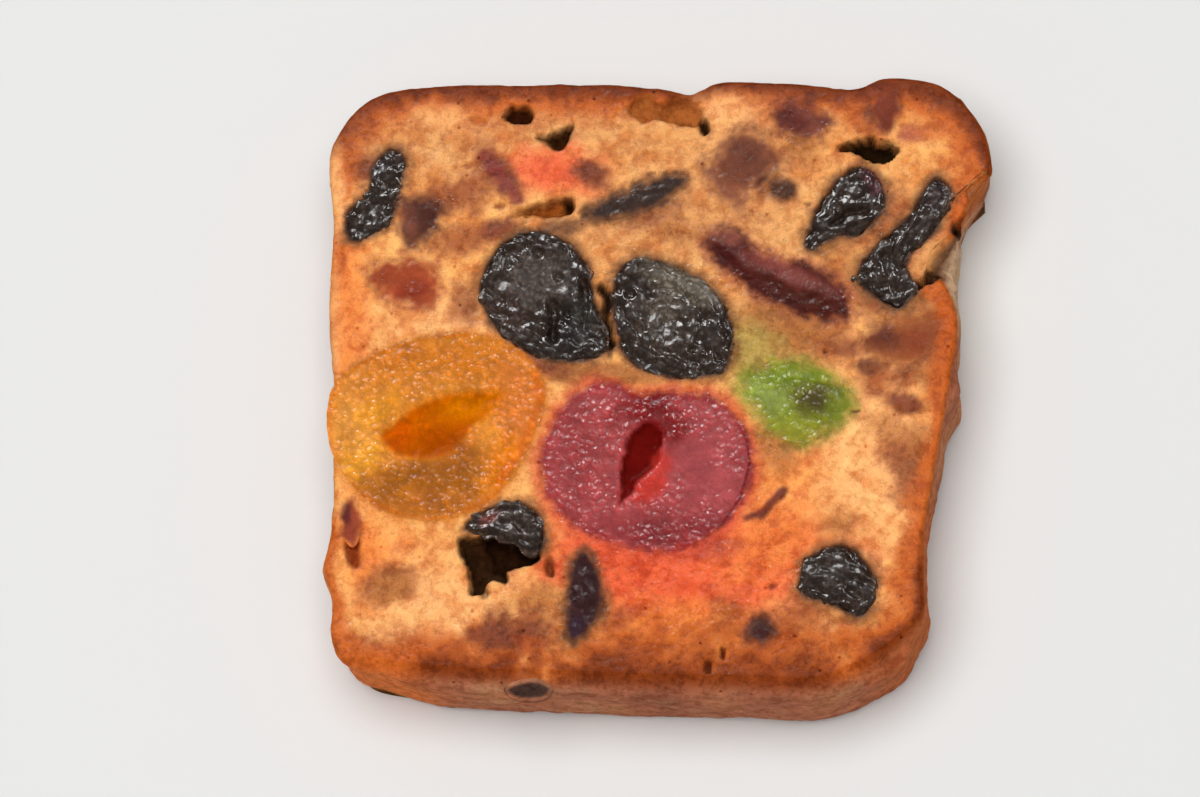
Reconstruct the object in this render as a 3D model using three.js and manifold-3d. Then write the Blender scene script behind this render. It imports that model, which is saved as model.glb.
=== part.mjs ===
// A slice of light fruit cake, lying on one of its two cut faces. Millimetres, +Z up.
// The crumb is one solid. Every piece of fruit is a solid of its own, set into a pocket in the
// crumb and cut level with the face that it shows at. The loaf's crust runs round the four sides,
// its top side towards +Y and its base towards -Y. The origin is at the middle of the underside.

import * as THREE from 'three';
import Module from 'manifold-3d';

const wasm = await Module();
wasm.setup();

// ---- driving dimensions ----

const thickness = 16;          // from one cut face to the other
const clearance = 0.3;         // between a fruit and its pocket
const outlinePoints = 140;     // round the slice
const facetLength = 2.0;       // of a fruit's outline, as long as the fewest and most points allow
const fewestPoints = 10;
const mostPoints = 26;
const cherryPoints = 26;       // round a candied cherry
const pocketLift = 1;          // how far a pocket's cutter stands out of the face

// Upper edge of the slice, anticlockwise from the right side's lower end.
const upperEdge = [
  [27.6, -20.5], [27.8, -15.7], [28.9, -9.9], [29.9, -4.6], [31.0, 1.8], [31.7, 6.9], [30.5, 10.7],
  [28.9, 12.0], [29.8, 13.4], [31.3, 15.3], [32.6, 17.9], [33.7, 20.6], [35.2, 21.5], [35.5, 23.6],
  [34.6, 27.1], [32.8, 29.8], [30.2, 32.1], [27.4, 33.3], [23.8, 33.4], [20.6, 32.4], [14.2, 33.2],
  [7.1, 33.3], [4.5, 32.7], [2.5, 31.9], [0.3, 32.5], [-2.6, 33.2], [-6.1, 33.5], [-13.2, 33.6],
  [-22.2, 33.8], [-28.8, 33.1], [-32.1, 31.5], [-34.3, 28.7], [-35.4, 25.4], [-34.9, 18.3],
  [-35.2, 9.0], [-34.6, 1.4], [-34.5, -5.6], [-34.2, -12.1], [-34.8, -15.6], [-35.4, -18.8],
  [-34.5, -22.2], [-34.7, -25.6], [-33.8, -28.3], [-31.8, -30.2], [-27.1, -31.2], [-19.7, -31.9],
  [-12.4, -32.2], [-3.2, -32.7], [8.4, -33.1], [15.7, -33.4], [20.3, -32.1], [23.6, -29.7],
  [26.1, -26.9], [27.7, -24.2],
];

// How the side runs from the underside up: height, and how far it stays inside the full outline.
const sideRows = [
  [0, 0.9], [0.5, 0.25], [2, 0], [6, -0.1], [10, 0], [13.2, 0], [14.6, 0.05], [15.6, 0.2], [16, 0.55],
];

// Where the side below the upper edge stands out past it: place, distance and reach along the side.
const sideSwells = [
  { at: [33.2, 17.2], out: 1.5, reach: 4.2 },
  { at: [30.4, -0.5], out: 1.0, reach: 2.2 },
  { at: [27.0, -26.6], out: 2.4, reach: 5.0 },
  { at: [20.0, -32.4], out: 0.8, reach: 4.5 },
  { at: [-34.2, -29.0], out: 0.6, reach: 4.0 },
  { at: [9.0, 33.4], out: 0.3, reach: 9.0 },
];
const swellTop = 15.2;         // height at which the swells begin
const swellFull = 13.0;        // and at which they are full

// Shallow waves of the crust, highest at mid-thickness: how many, how high, how far they lean.
const crustWaves = [
  { count: 11, height: 0.12, lean: 0.4 },
  { count: 23, height: 0.08, lean: -0.7 },
];

// Fruit at the upper face. An outline has only the points that its shape needs; the spine is the
// point or line that the piece's inner rings shrink towards.
const upperFruit = {
  raisin_centre_left: {
    outline: [[-19.0, 10.7], [-17.9, 14.2], [-15.5, 16.8], [-12.0, 17.2], [-7.9, 14.3], [-6.6, 9.8],
      [-5.2, 4.4], [-8.8, 2.9], [-13.6, 3.8], [-17.2, 6.7]],
    spine: [[-12.2, 9.6]], depth: 6.5, crown: 0.45, colour: 'raisin',
  },
  raisin_centre_right: {
    outline: [[-4.9, 10.3], [-3.5, 13.7], [0.3, 13.8], [5.5, 11.0], [7.8, 6.9], [7.2, 2.0], [3.4, 0.8],
      [-1.1, 1.6], [-3.7, 3.6], [-4.6, 7.2]],
    spine: [[1.2, 7.2]], depth: 6.5, crown: 0.45, colour: 'raisin',
  },
  raisin_torn: {
    outline: [[-20.4, -14.8], [-18.6, -13.0], [-15.5, -11.9], [-12.8, -13.0], [-11.8, -16.0],
      [-12.9, -17.8], [-15.2, -16.9], [-17.6, -15.8]],
    spine: [[-18.0, -14.4], [-13.9, -15.0]], depth: 5.0, crown: 0.4, colour: 'raisin',
  },
  raisin_slim: {
    outline: [[-9.6, -23.1], [-8.9, -18.6], [-7.4, -17.4], [-5.8, -21.8], [-6.6, -24.9], [-9.2, -26.9]],
    spine: [[-8.2, -24.4], [-7.6, -19.8]], depth: 4.5, crown: 0.15, colour: 'raisin',
  },
  raisin_lower_right: {
    outline: [[14.6, -21.9], [15.4, -18.5], [19.2, -17.1], [22.0, -19.4], [22.6, -22.5],
      [21.1, -24.8], [18.0, -23.6]],
    spine: [[18.7, -21.0]], depth: 5.5, crown: 0.4, colour: 'raisin',
  },
  raisin_folded: {
    outline: [[15.5, 15.5], [17.5, 20.2], [20.4, 23.5], [23.0, 22.8], [24.2, 19.5], [21.6, 16.2],
      [18.8, 15.8], [16.6, 14.6]],
    spine: [[18.0, 17.4], [21.4, 20.6]], depth: 5.5, crown: 0.4, colour: 'raisin',
  },
  raisin_long: {
    outline: [[29.3, 22.2], [31.2, 20.4], [29.3, 16.1], [26.4, 13.3], [27.3, 10.3], [25.2, 8.0],
      [21.0, 11.2], [23.0, 14.9], [26.3, 18.0]],
    spine: [[29.2, 20.2], [27.2, 16.4], [24.7, 13.4], [24.7, 10.2]],
    depth: 5.0, crown: 0.35, colour: 'raisin',
  },
  raisin_high: {
    outline: [[-7.8, 19.0], [-3.9, 21.3], [0.5, 23.0], [3.2, 22.6], [-0.3, 19.7], [-5.2, 18.3]],
    spine: [[-5.2, 19.4], [0.7, 21.6]], depth: 4.0, crown: 0.1, colour: 'raisin',
  },
  raisin_left: {
    outline: [[-30.6, 24.5], [-28.7, 26.7], [-26.9, 25.2], [-27.6, 21.8], [-28.9, 18.2], [-32.7, 16.4],
      [-33.4, 19.6], [-31.3, 21.6]],
    spine: [[-28.7, 24.8], [-29.6, 21.4], [-31.4, 18.6]], depth: 4.5, crown: 0.3, colour: 'raisin',
  },
  raisin_small: {
    outline: [[9.2, -26.2], [10.6, -24.9], [12.0, -26.2], [10.6, -27.6]],
    spine: [[10.6, -26.2]], depth: 2.4, crown: 0.2, colour: 'raisin',
  },
  date_long: {
    outline: [[4.9, 16.1], [7.5, 17.4], [11.3, 14.2], [16.5, 12.8], [20.1, 9.5], [19.4, 7.2],
      [15.0, 7.5], [9.2, 10.9], [5.8, 13.9]],
    spine: [[6.9, 15.4], [11.0, 12.4], [17.2, 9.9]], depth: 5.5, crown: 0.15, colour: 'maroon',
  },
  plum_top: {
    outline: [[12.2, 29.3], [14.0, 31.2], [18.6, 28.9], [16.4, 26.6], [13.5, 27.3]],
    spine: [[14.9, 28.8]], depth: 5.0, crown: 0.05, colour: 'plum',
  },
  plum_square: {
    outline: [[5.0, 23.8], [9.3, 28.2], [13.0, 25.2], [13.1, 23.6], [8.8, 19.7], [6.2, 21.3]],
    spine: [[9.2, 24.0]], depth: 5.5, crown: 0.05, colour: 'mauve',
  },
  fig_left: {
    outline: [[-27.4, 20.8], [-25.2, 21.8], [-22.7, 20.4], [-24.1, 17.0], [-26.3, 15.7],
      [-27.8, 17.6]],
    spine: [[-25.6, 18.9]], depth: 4.5, crown: 0.05, colour: 'mauve',
  },
  papaya_left: {
    outline: [[-30.8, 13.7], [-27.5, 14.5], [-23.8, 13.8], [-23.9, 9.7], [-26.9, 9.1], [-30.2, 10.9]],
    spine: [[-27.1, 11.9]], depth: 5.0, crown: 0.05, colour: 'rust',
  },
  date_right: {
    outline: [[21.7, 5.6], [25.0, 6.8], [28.9, 6.5], [28.6, 3.5], [25.9, 2.0], [22.5, 2.9]],
    spine: [[25.4, 4.5]], depth: 5.0, crown: 0.05, colour: 'maroon',
  },
  date_corner: {
    outline: [[23.0, 31.2], [25.2, 31.9], [25.9, 29.4], [24.6, 27.4], [22.9, 28.6]],
    spine: [[24.3, 29.7]], depth: 4.0, crown: 0.05, colour: 'maroon',
  },
  raisin_crust: {
    outline: [[-16.4, -31.7], [-14.9, -30.9], [-12.6, -30.8], [-11.2, -31.7], [-12.4, -32.7],
      [-15.0, -32.7]],
    spine: [[-13.8, -31.8]], depth: 3.0, crown: 0, colour: 'raisin',
  },
  papaya_edge: {
    outline: [[-33.3, -12.3], [-32.0, -11.6], [-31.3, -14.4], [-32.1, -16.6], [-33.4, -15.2]],
    spine: [[-32.4, -14.0]], depth: 3.5, crown: 0.05, colour: 'rust',
  },
};

// Candied cherries at the upper face, cut through the hollow that the stone left.
const upperCherries = {
  red_cherry: {
    outline: [[-12.4, -7.5], [-11.4, -4.4], [-9.0, -0.9], [-5.5, 0.7], [-1.6, -0.6], [2.7, -0.6],
      [7.1, -1.9], [9.8, -6.5], [9.1, -11.7], [5.0, -16.2], [-1.0, -17.6], [-7.1, -15.6], [-11.2, -12.1]],
    spine: [[-1.6, -7.2]], depth: 11.0, crown: 0.1, colour: 'red',
    hollow: [[-3.1, -1.4], [-0.3, -3.0], [2.0, -5.4], [0.5, -7.3], [-0.7, -9.7], [-2.7, -11.2],
      [-3.9, -9.9], [-3.8, -6.7]],
    hollowDepth: 4.6,
  },
  yellow_cherry: {
    outline: [[-34.7, 0.2], [-31.2, 3.6], [-25.8, 5.8], [-19.4, 6.2], [-14.4, 4.1], [-11.9, 0.1],
      [-13.2, -5.0], [-15.9, -10.1], [-21.1, -13.6], [-27.2, -13.5], [-31.8, -10.6], [-34.7, -5.8]],
    spine: [[-23.9, -3.9]], depth: 11.5, crown: 0.1, colour: 'yellow',
    hollow: [[-29.9, -5.0], [-28.1, -2.2], [-22.9, -0.2], [-17.6, -0.3], [-17.7, -3.6], [-20.4, -5.5],
      [-23.9, -7.3], [-27.7, -6.5]],
    hollowDepth: 3.6,
  },
};

const greenCherry = {
  outline: [[8.9, 0.2], [11.4, 2.0], [15.5, 2.1], [19.1, 0.1], [20.2, -2.6], [18.0, -4.9],
    [14.7, -6.3], [11.5, -4.6]],
  spine: [[14.6, -2.0]], depth: 6.0, crown: 0.1, colour: 'green',
};

// Fruit at the face that the slice lies on, level with it and clear of its middle.
const underFruit = {
  raisin_under_left: {
    outline: [[-30.5, 20.4], [-27.6, 23.0], [-23.2, 21.6], [-22.0, 17.4], [-25.0, 14.6], [-29.4, 16.2]],
    spine: [[-26.2, 18.8]], depth: 5.0, crown: 0, colour: 'raisin',
  },
  raisin_under_right: {
    outline: [[18.4, 21.0], [22.6, 23.4], [27.0, 21.2], [26.2, 17.0], [21.8, 15.4], [18.6, 17.4]],
    spine: [[22.6, 19.2]], depth: 5.0, crown: 0, colour: 'raisin',
  },
  raisin_under_base: {
    outline: [[-6.4, -24.6], [-2.2, -22.8], [2.2, -24.8], [1.4, -28.6], [-3.0, -29.8], [-6.6, -28.0]],
    spine: [[-2.4, -26.4]], depth: 5.0, crown: 0, colour: 'raisin',
  },
  raisin_under_slim: {
    outline: [[-14.6, 28.6], [-9.0, 29.6], [-4.4, 27.6], [-6.6, 25.4], [-12.6, 25.6]],
    spine: [[-11.6, 27.4], [-7.4, 27.2]], depth: 4.5, crown: 0, colour: 'raisin',
  },
  plum_under: {
    outline: [[15.0, -12.0], [20.4, -10.6], [22.8, -14.4], [20.2, -18.2], [15.4, -17.2]],
    spine: [[18.8, -14.4]], depth: 5.5, crown: 0, colour: 'plum',
  },
  red_cherry_under: {
    outline: [[-13.6, 14.0], [-10.4, 19.4], [-4.6, 21.4], [1.0, 19.2], [3.2, 13.8], [0.6, 8.8],
      [-5.2, 6.9], [-11.2, 8.6]],
    spine: [[-5.3, 14.2]], depth: 7.0, crown: 0, colour: 'red',
  },
  green_cherry_under: {
    outline: [[-29.4, -20.6], [-25.8, -18.2], [-20.6, -19.0], [-18.8, -22.6], [-22.2, -26.0],
      [-27.4, -25.4]],
    spine: [[-24.2, -22.0]], depth: 5.5, crown: 0, colour: 'green',
  },
};
const underRecess = 0.12;      // underside fruit stays this far off the surface below

// Air holes, the torn pit by a raisin, and the scoop out of the loaf's top side, all open at the
// upper face.
const hollows = [
  { outline: [[19.6, 25.9], [22.4, 26.6], [26.0, 25.4], [23.2, 24.1], [20.6, 24.7]],
    spine: [[22.6, 25.4]], depth: 4.0 },
  { outline: [[-16.2, 30.7], [-14.8, 31.5], [-13.4, 30.7], [-14.9, 29.8]],
    spine: [[-14.8, 30.7]], depth: 2.0 },
  { outline: [[-12.2, 27.2], [-10.8, 28.2], [-9.4, 27.5], [-10.8, 26.4]],
    spine: [[-10.8, 27.3]], depth: 2.0 },
  { outline: [[-15.7, 19.4], [-12.4, 20.2], [-9.1, 20.2], [-9.3, 19.0], [-12.5, 18.7]],
    spine: [[-13.8, 19.4], [-10.6, 19.5]], depth: 1.8 },
  { outline: [[-20.5, -17.3], [-17.7, -16.2], [-14.8, -17.2], [-15.6, -19.2], [-19.0, -21.4],
    [-20.3, -20.0]],
    spine: [[-18.2, -18.6]], depth: 3.2 },
  { outline: [[-2.6, 35.5], [-2.7, 30.4], [-0.3, 29.0], [3.9, 28.4], [4.4, 31.0], [4.6, 35.5]],
    spine: [[1.0, 33.4]], depth: 2.6 },
  { outline: [[27.3, 11.2], [29.8, 12.5], [33.0, 13.0], [32.6, 12.0], [29.6, 11.4], [27.6, 10.5]],
    spine: [[28.6, 11.4], [31.8, 12.3]], depth: 3.4 },
];

const colours = {
  crumb: 0xe0a05c, raisin: 0x2a221e, maroon: 0x6a3020, plum: 0x54302a, mauve: 0x8e5a44,
  rust: 0xa83c22, red: 0xa02c34, yellow: 0xd88a24, green: 0x8a9a2c,
};

// ---- outlines ----

// Closed smooth curve through the points, as an even ring. Without a count, its length sets one.
function smoothRing(points, count) {
  const knots = points.map(([x, y]) => new THREE.Vector3(x, y, 0));
  const curve = new THREE.CatmullRomCurve3(knots, true, 'catmullrom', 0.5);
  const wanted = Math.round(curve.getLength() / facetLength);
  const total = count ?? THREE.MathUtils.clamp(wanted, fewestPoints, mostPoints);
  const ring = curve.getSpacedPoints(total).slice(0, total);
  return THREE.ShapeUtils.area(ring) < 0 ? ring.reverse() : ring;
}

// The ring moved outwards along its own normals, by its own distance at each point.
function grown(ring, distances) {
  const count = ring.length;
  return ring.map((point, i) => {
    const along = ring[(i + 1) % count].clone().sub(ring[(i + count - 1) % count]).normalize();
    const normal = new THREE.Vector3(along.y, -along.x, 0);
    return point.clone().addScaledVector(normal, distances[i]);
  });
}

// The ring moved outwards by the clearance all round.
function cleared(ring) {
  return grown(ring, ring.map(() => clearance));
}

// The place on a spine of one or more points that lies nearest to a point.
function nearestOnSpine(spine, point) {
  const knots = spine.map(([x, y]) => new THREE.Vector3(x, y, 0));
  let best = knots[0];
  for (let i = 1; i < knots.length; i += 1) {
    const place = new THREE.Vector3();
    new THREE.Line3(knots[i - 1], knots[i]).closestPointToPoint(point, true, place);
    best = place.distanceTo(point) < best.distanceTo(point) ? place : best;
  }
  return best;
}

// The ring at a share of its distance from the spine, lifted to height z.
function shrunk(ring, spine, share, z) {
  return ring.map((point) => {
    const place = nearestOnSpine(spine, point).clone().lerp(point, share);
    place.z = z;
    return place;
  });
}

// The outer and inner rings of a cherry, both sampled at the same angles about one centre.
function ringAtAngles(points, centre, count) {
  const dense = smoothRing(points, count * 12);
  const [cx, cy] = centre;
  return Array.from({ length: count }, (_, i) => {
    const angle = (2 * Math.PI * i) / count - Math.PI;
    const turned = (p) => Math.cos(Math.atan2(p.y - cy, p.x - cx) - angle);
    return dense.reduce((best, p) => (turned(p) > turned(best) ? p : best)).clone();
  });
}

// ---- solids ----

// Triangles of a flat cap over a ring, facing up or down.
function capFaces(ring, start, facingUp) {
  const faces = THREE.ShapeUtils.triangulateShape(ring, []);
  return faces.map(([a, b, c]) => {
    const turn = THREE.ShapeUtils.area([ring[a], ring[b], ring[c]]) > 0;
    const order = turn === facingUp ? [a, b, c] : [a, c, b];
    return order.map((i) => i + start);
  });
}

// A closed solid through rings that run from the underside up the outside; the last ring may lie
// inside a hollow. Each end is closed by a flat cap.
function loft(rings) {
  const count = rings[0].length;
  const positions = rings.flat().flatMap((p) => [p.x, p.y, p.z]);
  const faces = capFaces(rings[0], 0, false);
  for (let row = 0; row < rings.length - 1; row += 1) {
    for (let i = 0; i < count; i += 1) {
      const a = row * count + i;
      const b = row * count + ((i + 1) % count);
      faces.push([a, b, b + count], [a, b + count, a + count]);
    }
  }
  faces.push(...capFaces(rings[rings.length - 1], (rings.length - 1) * count, true));
  return asSolid(new Float32Array(positions), new Uint32Array(faces.flat()));
}

function asSolid(vertProperties, triVerts) {
  return new wasm.Manifold(new wasm.Mesh({ numProp: 3, vertProperties, triVerts }));
}

function asMesh(name, solid, colour, roughness) {
  const { vertProperties, triVerts } = solid.getMesh();
  const geometry = new THREE.BufferGeometry();
  geometry.setAttribute('position', new THREE.BufferAttribute(vertProperties, 3));
  geometry.setIndex(new THREE.BufferAttribute(triVerts, 1));
  const material = new THREE.MeshStandardMaterial({ color: colours[colour], roughness, metalness: 0 });
  const mesh = new THREE.Mesh(geometry, material);
  mesh.name = name;
  return mesh;
}

// How a fruit narrows below the cut: share of its outline, and share of its depth.
const fruitProfile = [[0.4, 1], [0.82, 0.82], [1.03, 0.45]];
const cherryProfile = [[0.3, 1], [0.62, 0.86], [0.87, 0.6], [0.99, 0.28]];

// How its crown rises from a lip just below the cut: share of the outline, and of the crown.
const crownProfile = [[0.86, 0.62], [0.45, 1]];
const cherryFace = 0.97;       // share of a cherry's outline that its level face takes up
const lipDrop = 0.15;          // from the cut down to the lip

// How the stone's hollow narrows: share of its outline, and share of its depth.
const hollowProfile = [[1.06, 0], [0.92, 0.45], [0.5, 1]];

// A fruit under the upper face: rings up its outside, then over its slightly raised crown.
function fruitSolid({ outline, spine, depth, crown }) {
  const ring = smoothRing(outline);
  const below = fruitProfile.map(([share, down]) => shrunk(ring, spine, share, thickness - depth * down));
  const lip = shrunk(ring, spine, 1, thickness - lipDrop);
  const above = crownProfile.map(([share, up]) => shrunk(ring, spine, share, thickness + crown * up));
  return loft([...below, lip, ...above]);
}

// The cutter for its pocket, wider and deeper by the clearance and open above the face.
function pocketSolid({ outline, spine, depth }) {
  const ring = cleared(smoothRing(outline));
  const rings = fruitProfile.map(([share, down]) => {
    return shrunk(ring, spine, share, thickness - (depth + clearance) * down);
  });
  return loft([...rings, shrunk(ring, spine, 1, thickness + pocketLift)]);
}

// A cherry cut level, with the rings carried over the face and down into the stone's hollow.
function cherrySolid({ outline, spine, depth, crown, hollow, hollowDepth }) {
  const outer = ringAtAngles(outline, spine[0], cherryPoints);
  const rings = cherryProfile.map(([share, down]) => shrunk(outer, spine, share, thickness - depth * down));
  rings.push(shrunk(outer, spine, 1, thickness - lipDrop));
  rings.push(shrunk(outer, spine, cherryFace, thickness + crown));
  const inner = ringAtAngles(hollow, spine[0], cherryPoints);
  const face = thickness + crown;
  const below = hollowProfile.map(([share, down]) => shrunk(inner, spine, share, face - hollowDepth * down));
  return loft([...rings, ...below]);
}

function cherryPocket(cherry) {
  const outer = cleared(ringAtAngles(cherry.outline, cherry.spine[0], cherryPoints));
  const rings = cherryProfile.map(([share, down]) => {
    return shrunk(outer, cherry.spine, share, thickness - (cherry.depth + clearance) * down);
  });
  return loft([...rings, shrunk(outer, cherry.spine, 1, thickness + pocketLift)]);
}

// The same solid turned over onto the other cut face, by reflection through mid-thickness.
function turnedUnder(solid, recess) {
  return solid.mirror([0, 0, 1]).translate([0, 0, thickness + recess]);
}

// The crumb before its pockets are cut: the outline carried up the side rows, with the swells and
// a slight unevenness of the crust between the two faces.
function slabSolid() {
  const edge = smoothRing(upperEdge, outlinePoints);
  const rings = sideRows.map(([z, inset]) => {
    const fullness = THREE.MathUtils.smoothstep(swellTop - z, 0, swellTop - swellFull);
    const mid = Math.sin((Math.PI * z) / thickness);
    const outwards = edge.map((point, i) => {
      const swell = sideSwells.reduce((sum, { at: [x, y], out, reach }) => {
        const away = Math.hypot(point.x - x, point.y - y) / reach;
        return sum + out * Math.exp(-away * away);
      }, 0);
      const turn = (2 * Math.PI * i) / outlinePoints;
      const waves = crustWaves.reduce((sum, { count, height, lean }) => {
        return sum + height * Math.sin(count * turn + lean * z);
      }, 0);
      return swell * fullness + waves * mid - inset;
    });
    return grown(edge, outwards).map((point) => point.setZ(z));
  });
  return loft(rings);
}

// ---- the slice ----

const slice = new THREE.Group();
let crumb = slabSolid();

for (const hollow of hollows) {
  crumb = crumb.subtract(pocketSolid(hollow));
}

for (const [name, fruit] of Object.entries(upperFruit)) {
  crumb = crumb.subtract(pocketSolid(fruit));
  slice.add(asMesh(name, fruitSolid(fruit), fruit.colour, 0.5));
}

for (const [name, cherry] of Object.entries(upperCherries)) {
  crumb = crumb.subtract(cherryPocket(cherry));
  slice.add(asMesh(name, cherrySolid(cherry), cherry.colour, 0.25));
}

crumb = crumb.subtract(pocketSolid(greenCherry));
slice.add(asMesh('green_cherry', fruitSolid(greenCherry), greenCherry.colour, 0.25));

for (const [name, fruit] of Object.entries(underFruit)) {
  crumb = crumb.subtract(turnedUnder(pocketSolid(fruit), 0));
  slice.add(asMesh(name, turnedUnder(fruitSolid(fruit), underRecess), fruit.colour, 0.5));
}

slice.add(asMesh('cake', crumb, 'crumb', 0.8));

export default slice;
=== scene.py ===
import math

import bpy
import numpy as np
from mathutils import Matrix, Vector


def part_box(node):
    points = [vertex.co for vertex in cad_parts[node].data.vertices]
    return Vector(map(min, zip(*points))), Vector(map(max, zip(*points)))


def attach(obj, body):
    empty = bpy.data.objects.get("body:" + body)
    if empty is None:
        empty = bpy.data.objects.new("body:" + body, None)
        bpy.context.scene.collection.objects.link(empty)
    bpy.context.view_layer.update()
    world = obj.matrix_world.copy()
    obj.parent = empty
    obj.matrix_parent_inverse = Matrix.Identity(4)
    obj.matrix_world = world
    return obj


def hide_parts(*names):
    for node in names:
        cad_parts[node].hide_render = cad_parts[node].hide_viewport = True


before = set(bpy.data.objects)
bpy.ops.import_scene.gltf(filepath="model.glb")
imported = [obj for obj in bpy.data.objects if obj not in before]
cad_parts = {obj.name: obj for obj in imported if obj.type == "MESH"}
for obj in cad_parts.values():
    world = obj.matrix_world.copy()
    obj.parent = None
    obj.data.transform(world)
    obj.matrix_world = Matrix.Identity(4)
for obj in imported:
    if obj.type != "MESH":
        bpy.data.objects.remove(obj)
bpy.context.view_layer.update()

# A slice of light fruit cake. The tables are in millimetres, unless they say metres, in the frame
# of the part: the slice lies on one cut face, z runs up to the other, and +y is the side that was
# the loaf's top.

metre = 0.001  # one millimetre, in Blender's metres
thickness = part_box("cake")[1].z / metre


def smoothStep(value, low=0.0, high=1.0):
    # 0 below low, 1 above high, and an S-shaped rise between them
    t = np.clip((np.asarray(value, float) - low) / (high - low), 0, 1)
    return t * t * (3 - 2 * t)


def smoothLoop(corners, count):
    # A closed curve through the corners: on each stretch a cubic whose slope at a corner is half the
    # step between its two neighbours, then spaced evenly along its length. It runs anticlockwise.
    p = np.array(corners, float)
    t = np.linspace(0, 1, 24, endpoint=False)[:, None, None]
    a, b, c, d = (np.roll(p, k, axis=0)[None] for k in (1, 0, -1, -2))
    cubic = 2 * b + (c - a) * t + (2 * a - 5 * b + 4 * c - d) * t**2 + (3 * b - a - 3 * c + d) * t**3
    dense = (0.5 * cubic).transpose(1, 0, 2).reshape(-1, 2)
    x, y = dense.T
    if np.sum(x * np.roll(y, -1) - y * np.roll(x, -1)) < 0:
        dense = dense[::-1]
    closed = np.vstack([dense, dense[:1]])
    along = np.concatenate([[0], np.cumsum(np.linalg.norm(np.diff(closed, axis=0), axis=1))])
    at = np.linspace(0, along[-1], count, endpoint=False)
    return np.stack([np.interp(at, along, closed[:, k]) for k in (0, 1)], axis=1)


def signedDistance(x, y, loop, reach=6.0):
    # Distance from each point to the nearest edge of a closed loop, negative inside it. Points
    # further than reach from the loop's box just get the reach.
    flat = np.stack([np.ravel(x), np.ravel(y)], axis=1)
    away = np.full(len(flat), reach)
    low, high = loop.min(0) - reach, loop.max(0) + reach
    near = np.where(np.all((flat > low) & (flat < high), axis=1))[0]
    start, step = loop, np.roll(loop, -1, axis=0) - loop
    for part in np.array_split(near, max(1, len(near) // 12000)):
        q = flat[part][:, None] - start[None]
        t = np.clip(np.sum(q * step, axis=2) / np.sum(step * step, axis=1), 0, 1)
        gap = np.linalg.norm(q - t[..., None] * step, axis=2).min(1)
        rises = (start[:, 1] > flat[part, 1, None]) != (np.roll(start[:, 1], -1) > flat[part, 1, None])
        slope = np.where(step[:, 1] == 0, 1, step[:, 1])
        crossing = start[:, 0] + (flat[part, 1, None] - start[:, 1]) * step[:, 0] / slope
        inside = np.sum(rises & (flat[part, 0, None] < crossing), axis=1) % 2 == 1
        away[part] = np.minimum(gap, reach) * np.where(inside, -1, 1)
    return away.reshape(np.shape(x))


def awayFromPath(x, y, path):
    # Distance from each point to an open line of straight steps
    corners = np.array(path, float)
    away = np.full(np.shape(x), 99.0)
    for start, end in zip(corners[:-1], corners[1:]):
        step = end - start
        t = np.clip(((x - start[0]) * step[0] + (y - start[1]) * step[1]) / (step @ step), 0, 1)
        away = np.minimum(away, np.hypot(x - start[0] - t * step[0], y - start[1] - t * step[1]))
    return away


def ellipseReach(x, y, cx, cy, long, wide, turn):
    # 0 at the middle of a turned ellipse and 1 on its edge
    c, s = math.cos(math.radians(turn)), math.sin(math.radians(turn))
    return np.hypot(((x - cx) * c + (y - cy) * s) / long, ((y - cy) * c - (x - cx) * s) / wide)


def flatPoints(x, y):
    # The points at height 0
    return np.stack([x, y, np.zeros(len(x))], axis=1)


def hills(points, size, seed):
    # Rounded hills and hollows from -1 to 1: random values on a cubic lattice of that size, eased
    # from each lattice point to the next.
    table = np.random.default_rng(seed).uniform(-1, 1, (32, 32, 32))
    cell = np.floor(points / size).astype(int)
    ease = points / size - cell
    ease = ease * ease * (3 - 2 * ease)
    total = np.zeros(len(points))
    for corner in np.ndindex(2, 2, 2):
        i, j, k = ((cell + corner) % 32).T
        total += np.prod(np.where(corner, ease, 1 - ease), axis=1) * table[i, j, k]
    return total


def pebbles(points, size, seed):
    # Distance, in lattice sizes, to the nearest of scattered centres, one in each cell of a cubic
    # lattice
    table = np.random.default_rng(seed).uniform(0.1, 0.9, (24, 24, 24, 3))
    base = np.floor(points / size).astype(int)
    nearest = np.full(len(points), 9.0)
    for step in np.ndindex(3, 3, 3):
        cell = base + step - 1
        i, j, k = (cell % 24).T
        nearest = np.minimum(nearest, np.linalg.norm(cell + table[i, j, k] - points / size, axis=1))
    return nearest


def hexColour(code):
    # "#RRGGBB" as linear red, green and blue
    value = np.array([int(code[i : i + 2], 16) for i in (1, 3, 5)]) / 255
    return np.where(value <= 0.04045, value / 12.92, ((value + 0.055) / 1.055) ** 2.4)


def mixed(colours, code, share):
    # Each row of colours moved by its share towards one colour
    goal = hexColour(code) if isinstance(code, str) else code
    return colours + (goal - colours) * np.clip(share, 0, 1)[:, None]


def stained(colours, x, y, stains, seed):
    # Each stain is a turned ellipse, bent by slow noise and broken up by fine noise: its colour at
    # the full share inside, less over a soft border. Columns: x, y, half length, half width, turn,
    # colour, share, softness.
    points = flatPoints(x, y)
    bendX = 0.7 * hills(points, 2.4, seed) + 0.4 * hills(points, 1.0, seed + 1)
    bendY = 0.7 * hills(points, 2.4, seed + 2) + 0.4 * hills(points, 1.0, seed + 3)
    grain = 0.6 * hills(points, 0.55, seed + 4) + 0.5 * hills(points, 1.2, seed + 5)
    for cx, cy, long, wide, turn, code, share, soft in stains:
        give = 0.4 * min(long, wide, 3.0)
        reach = ellipseReach(x + give * bendX, y + give * bendY, cx, cy, long, wide, turn)
        reach += 0.35 * soft * grain
        code = crumbShades.get(code, code)
        colours = mixed(colours, code, 1.15 * share * (1 - smoothStep(reach, 1 - soft, 1 + soft)))
    return colours


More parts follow.
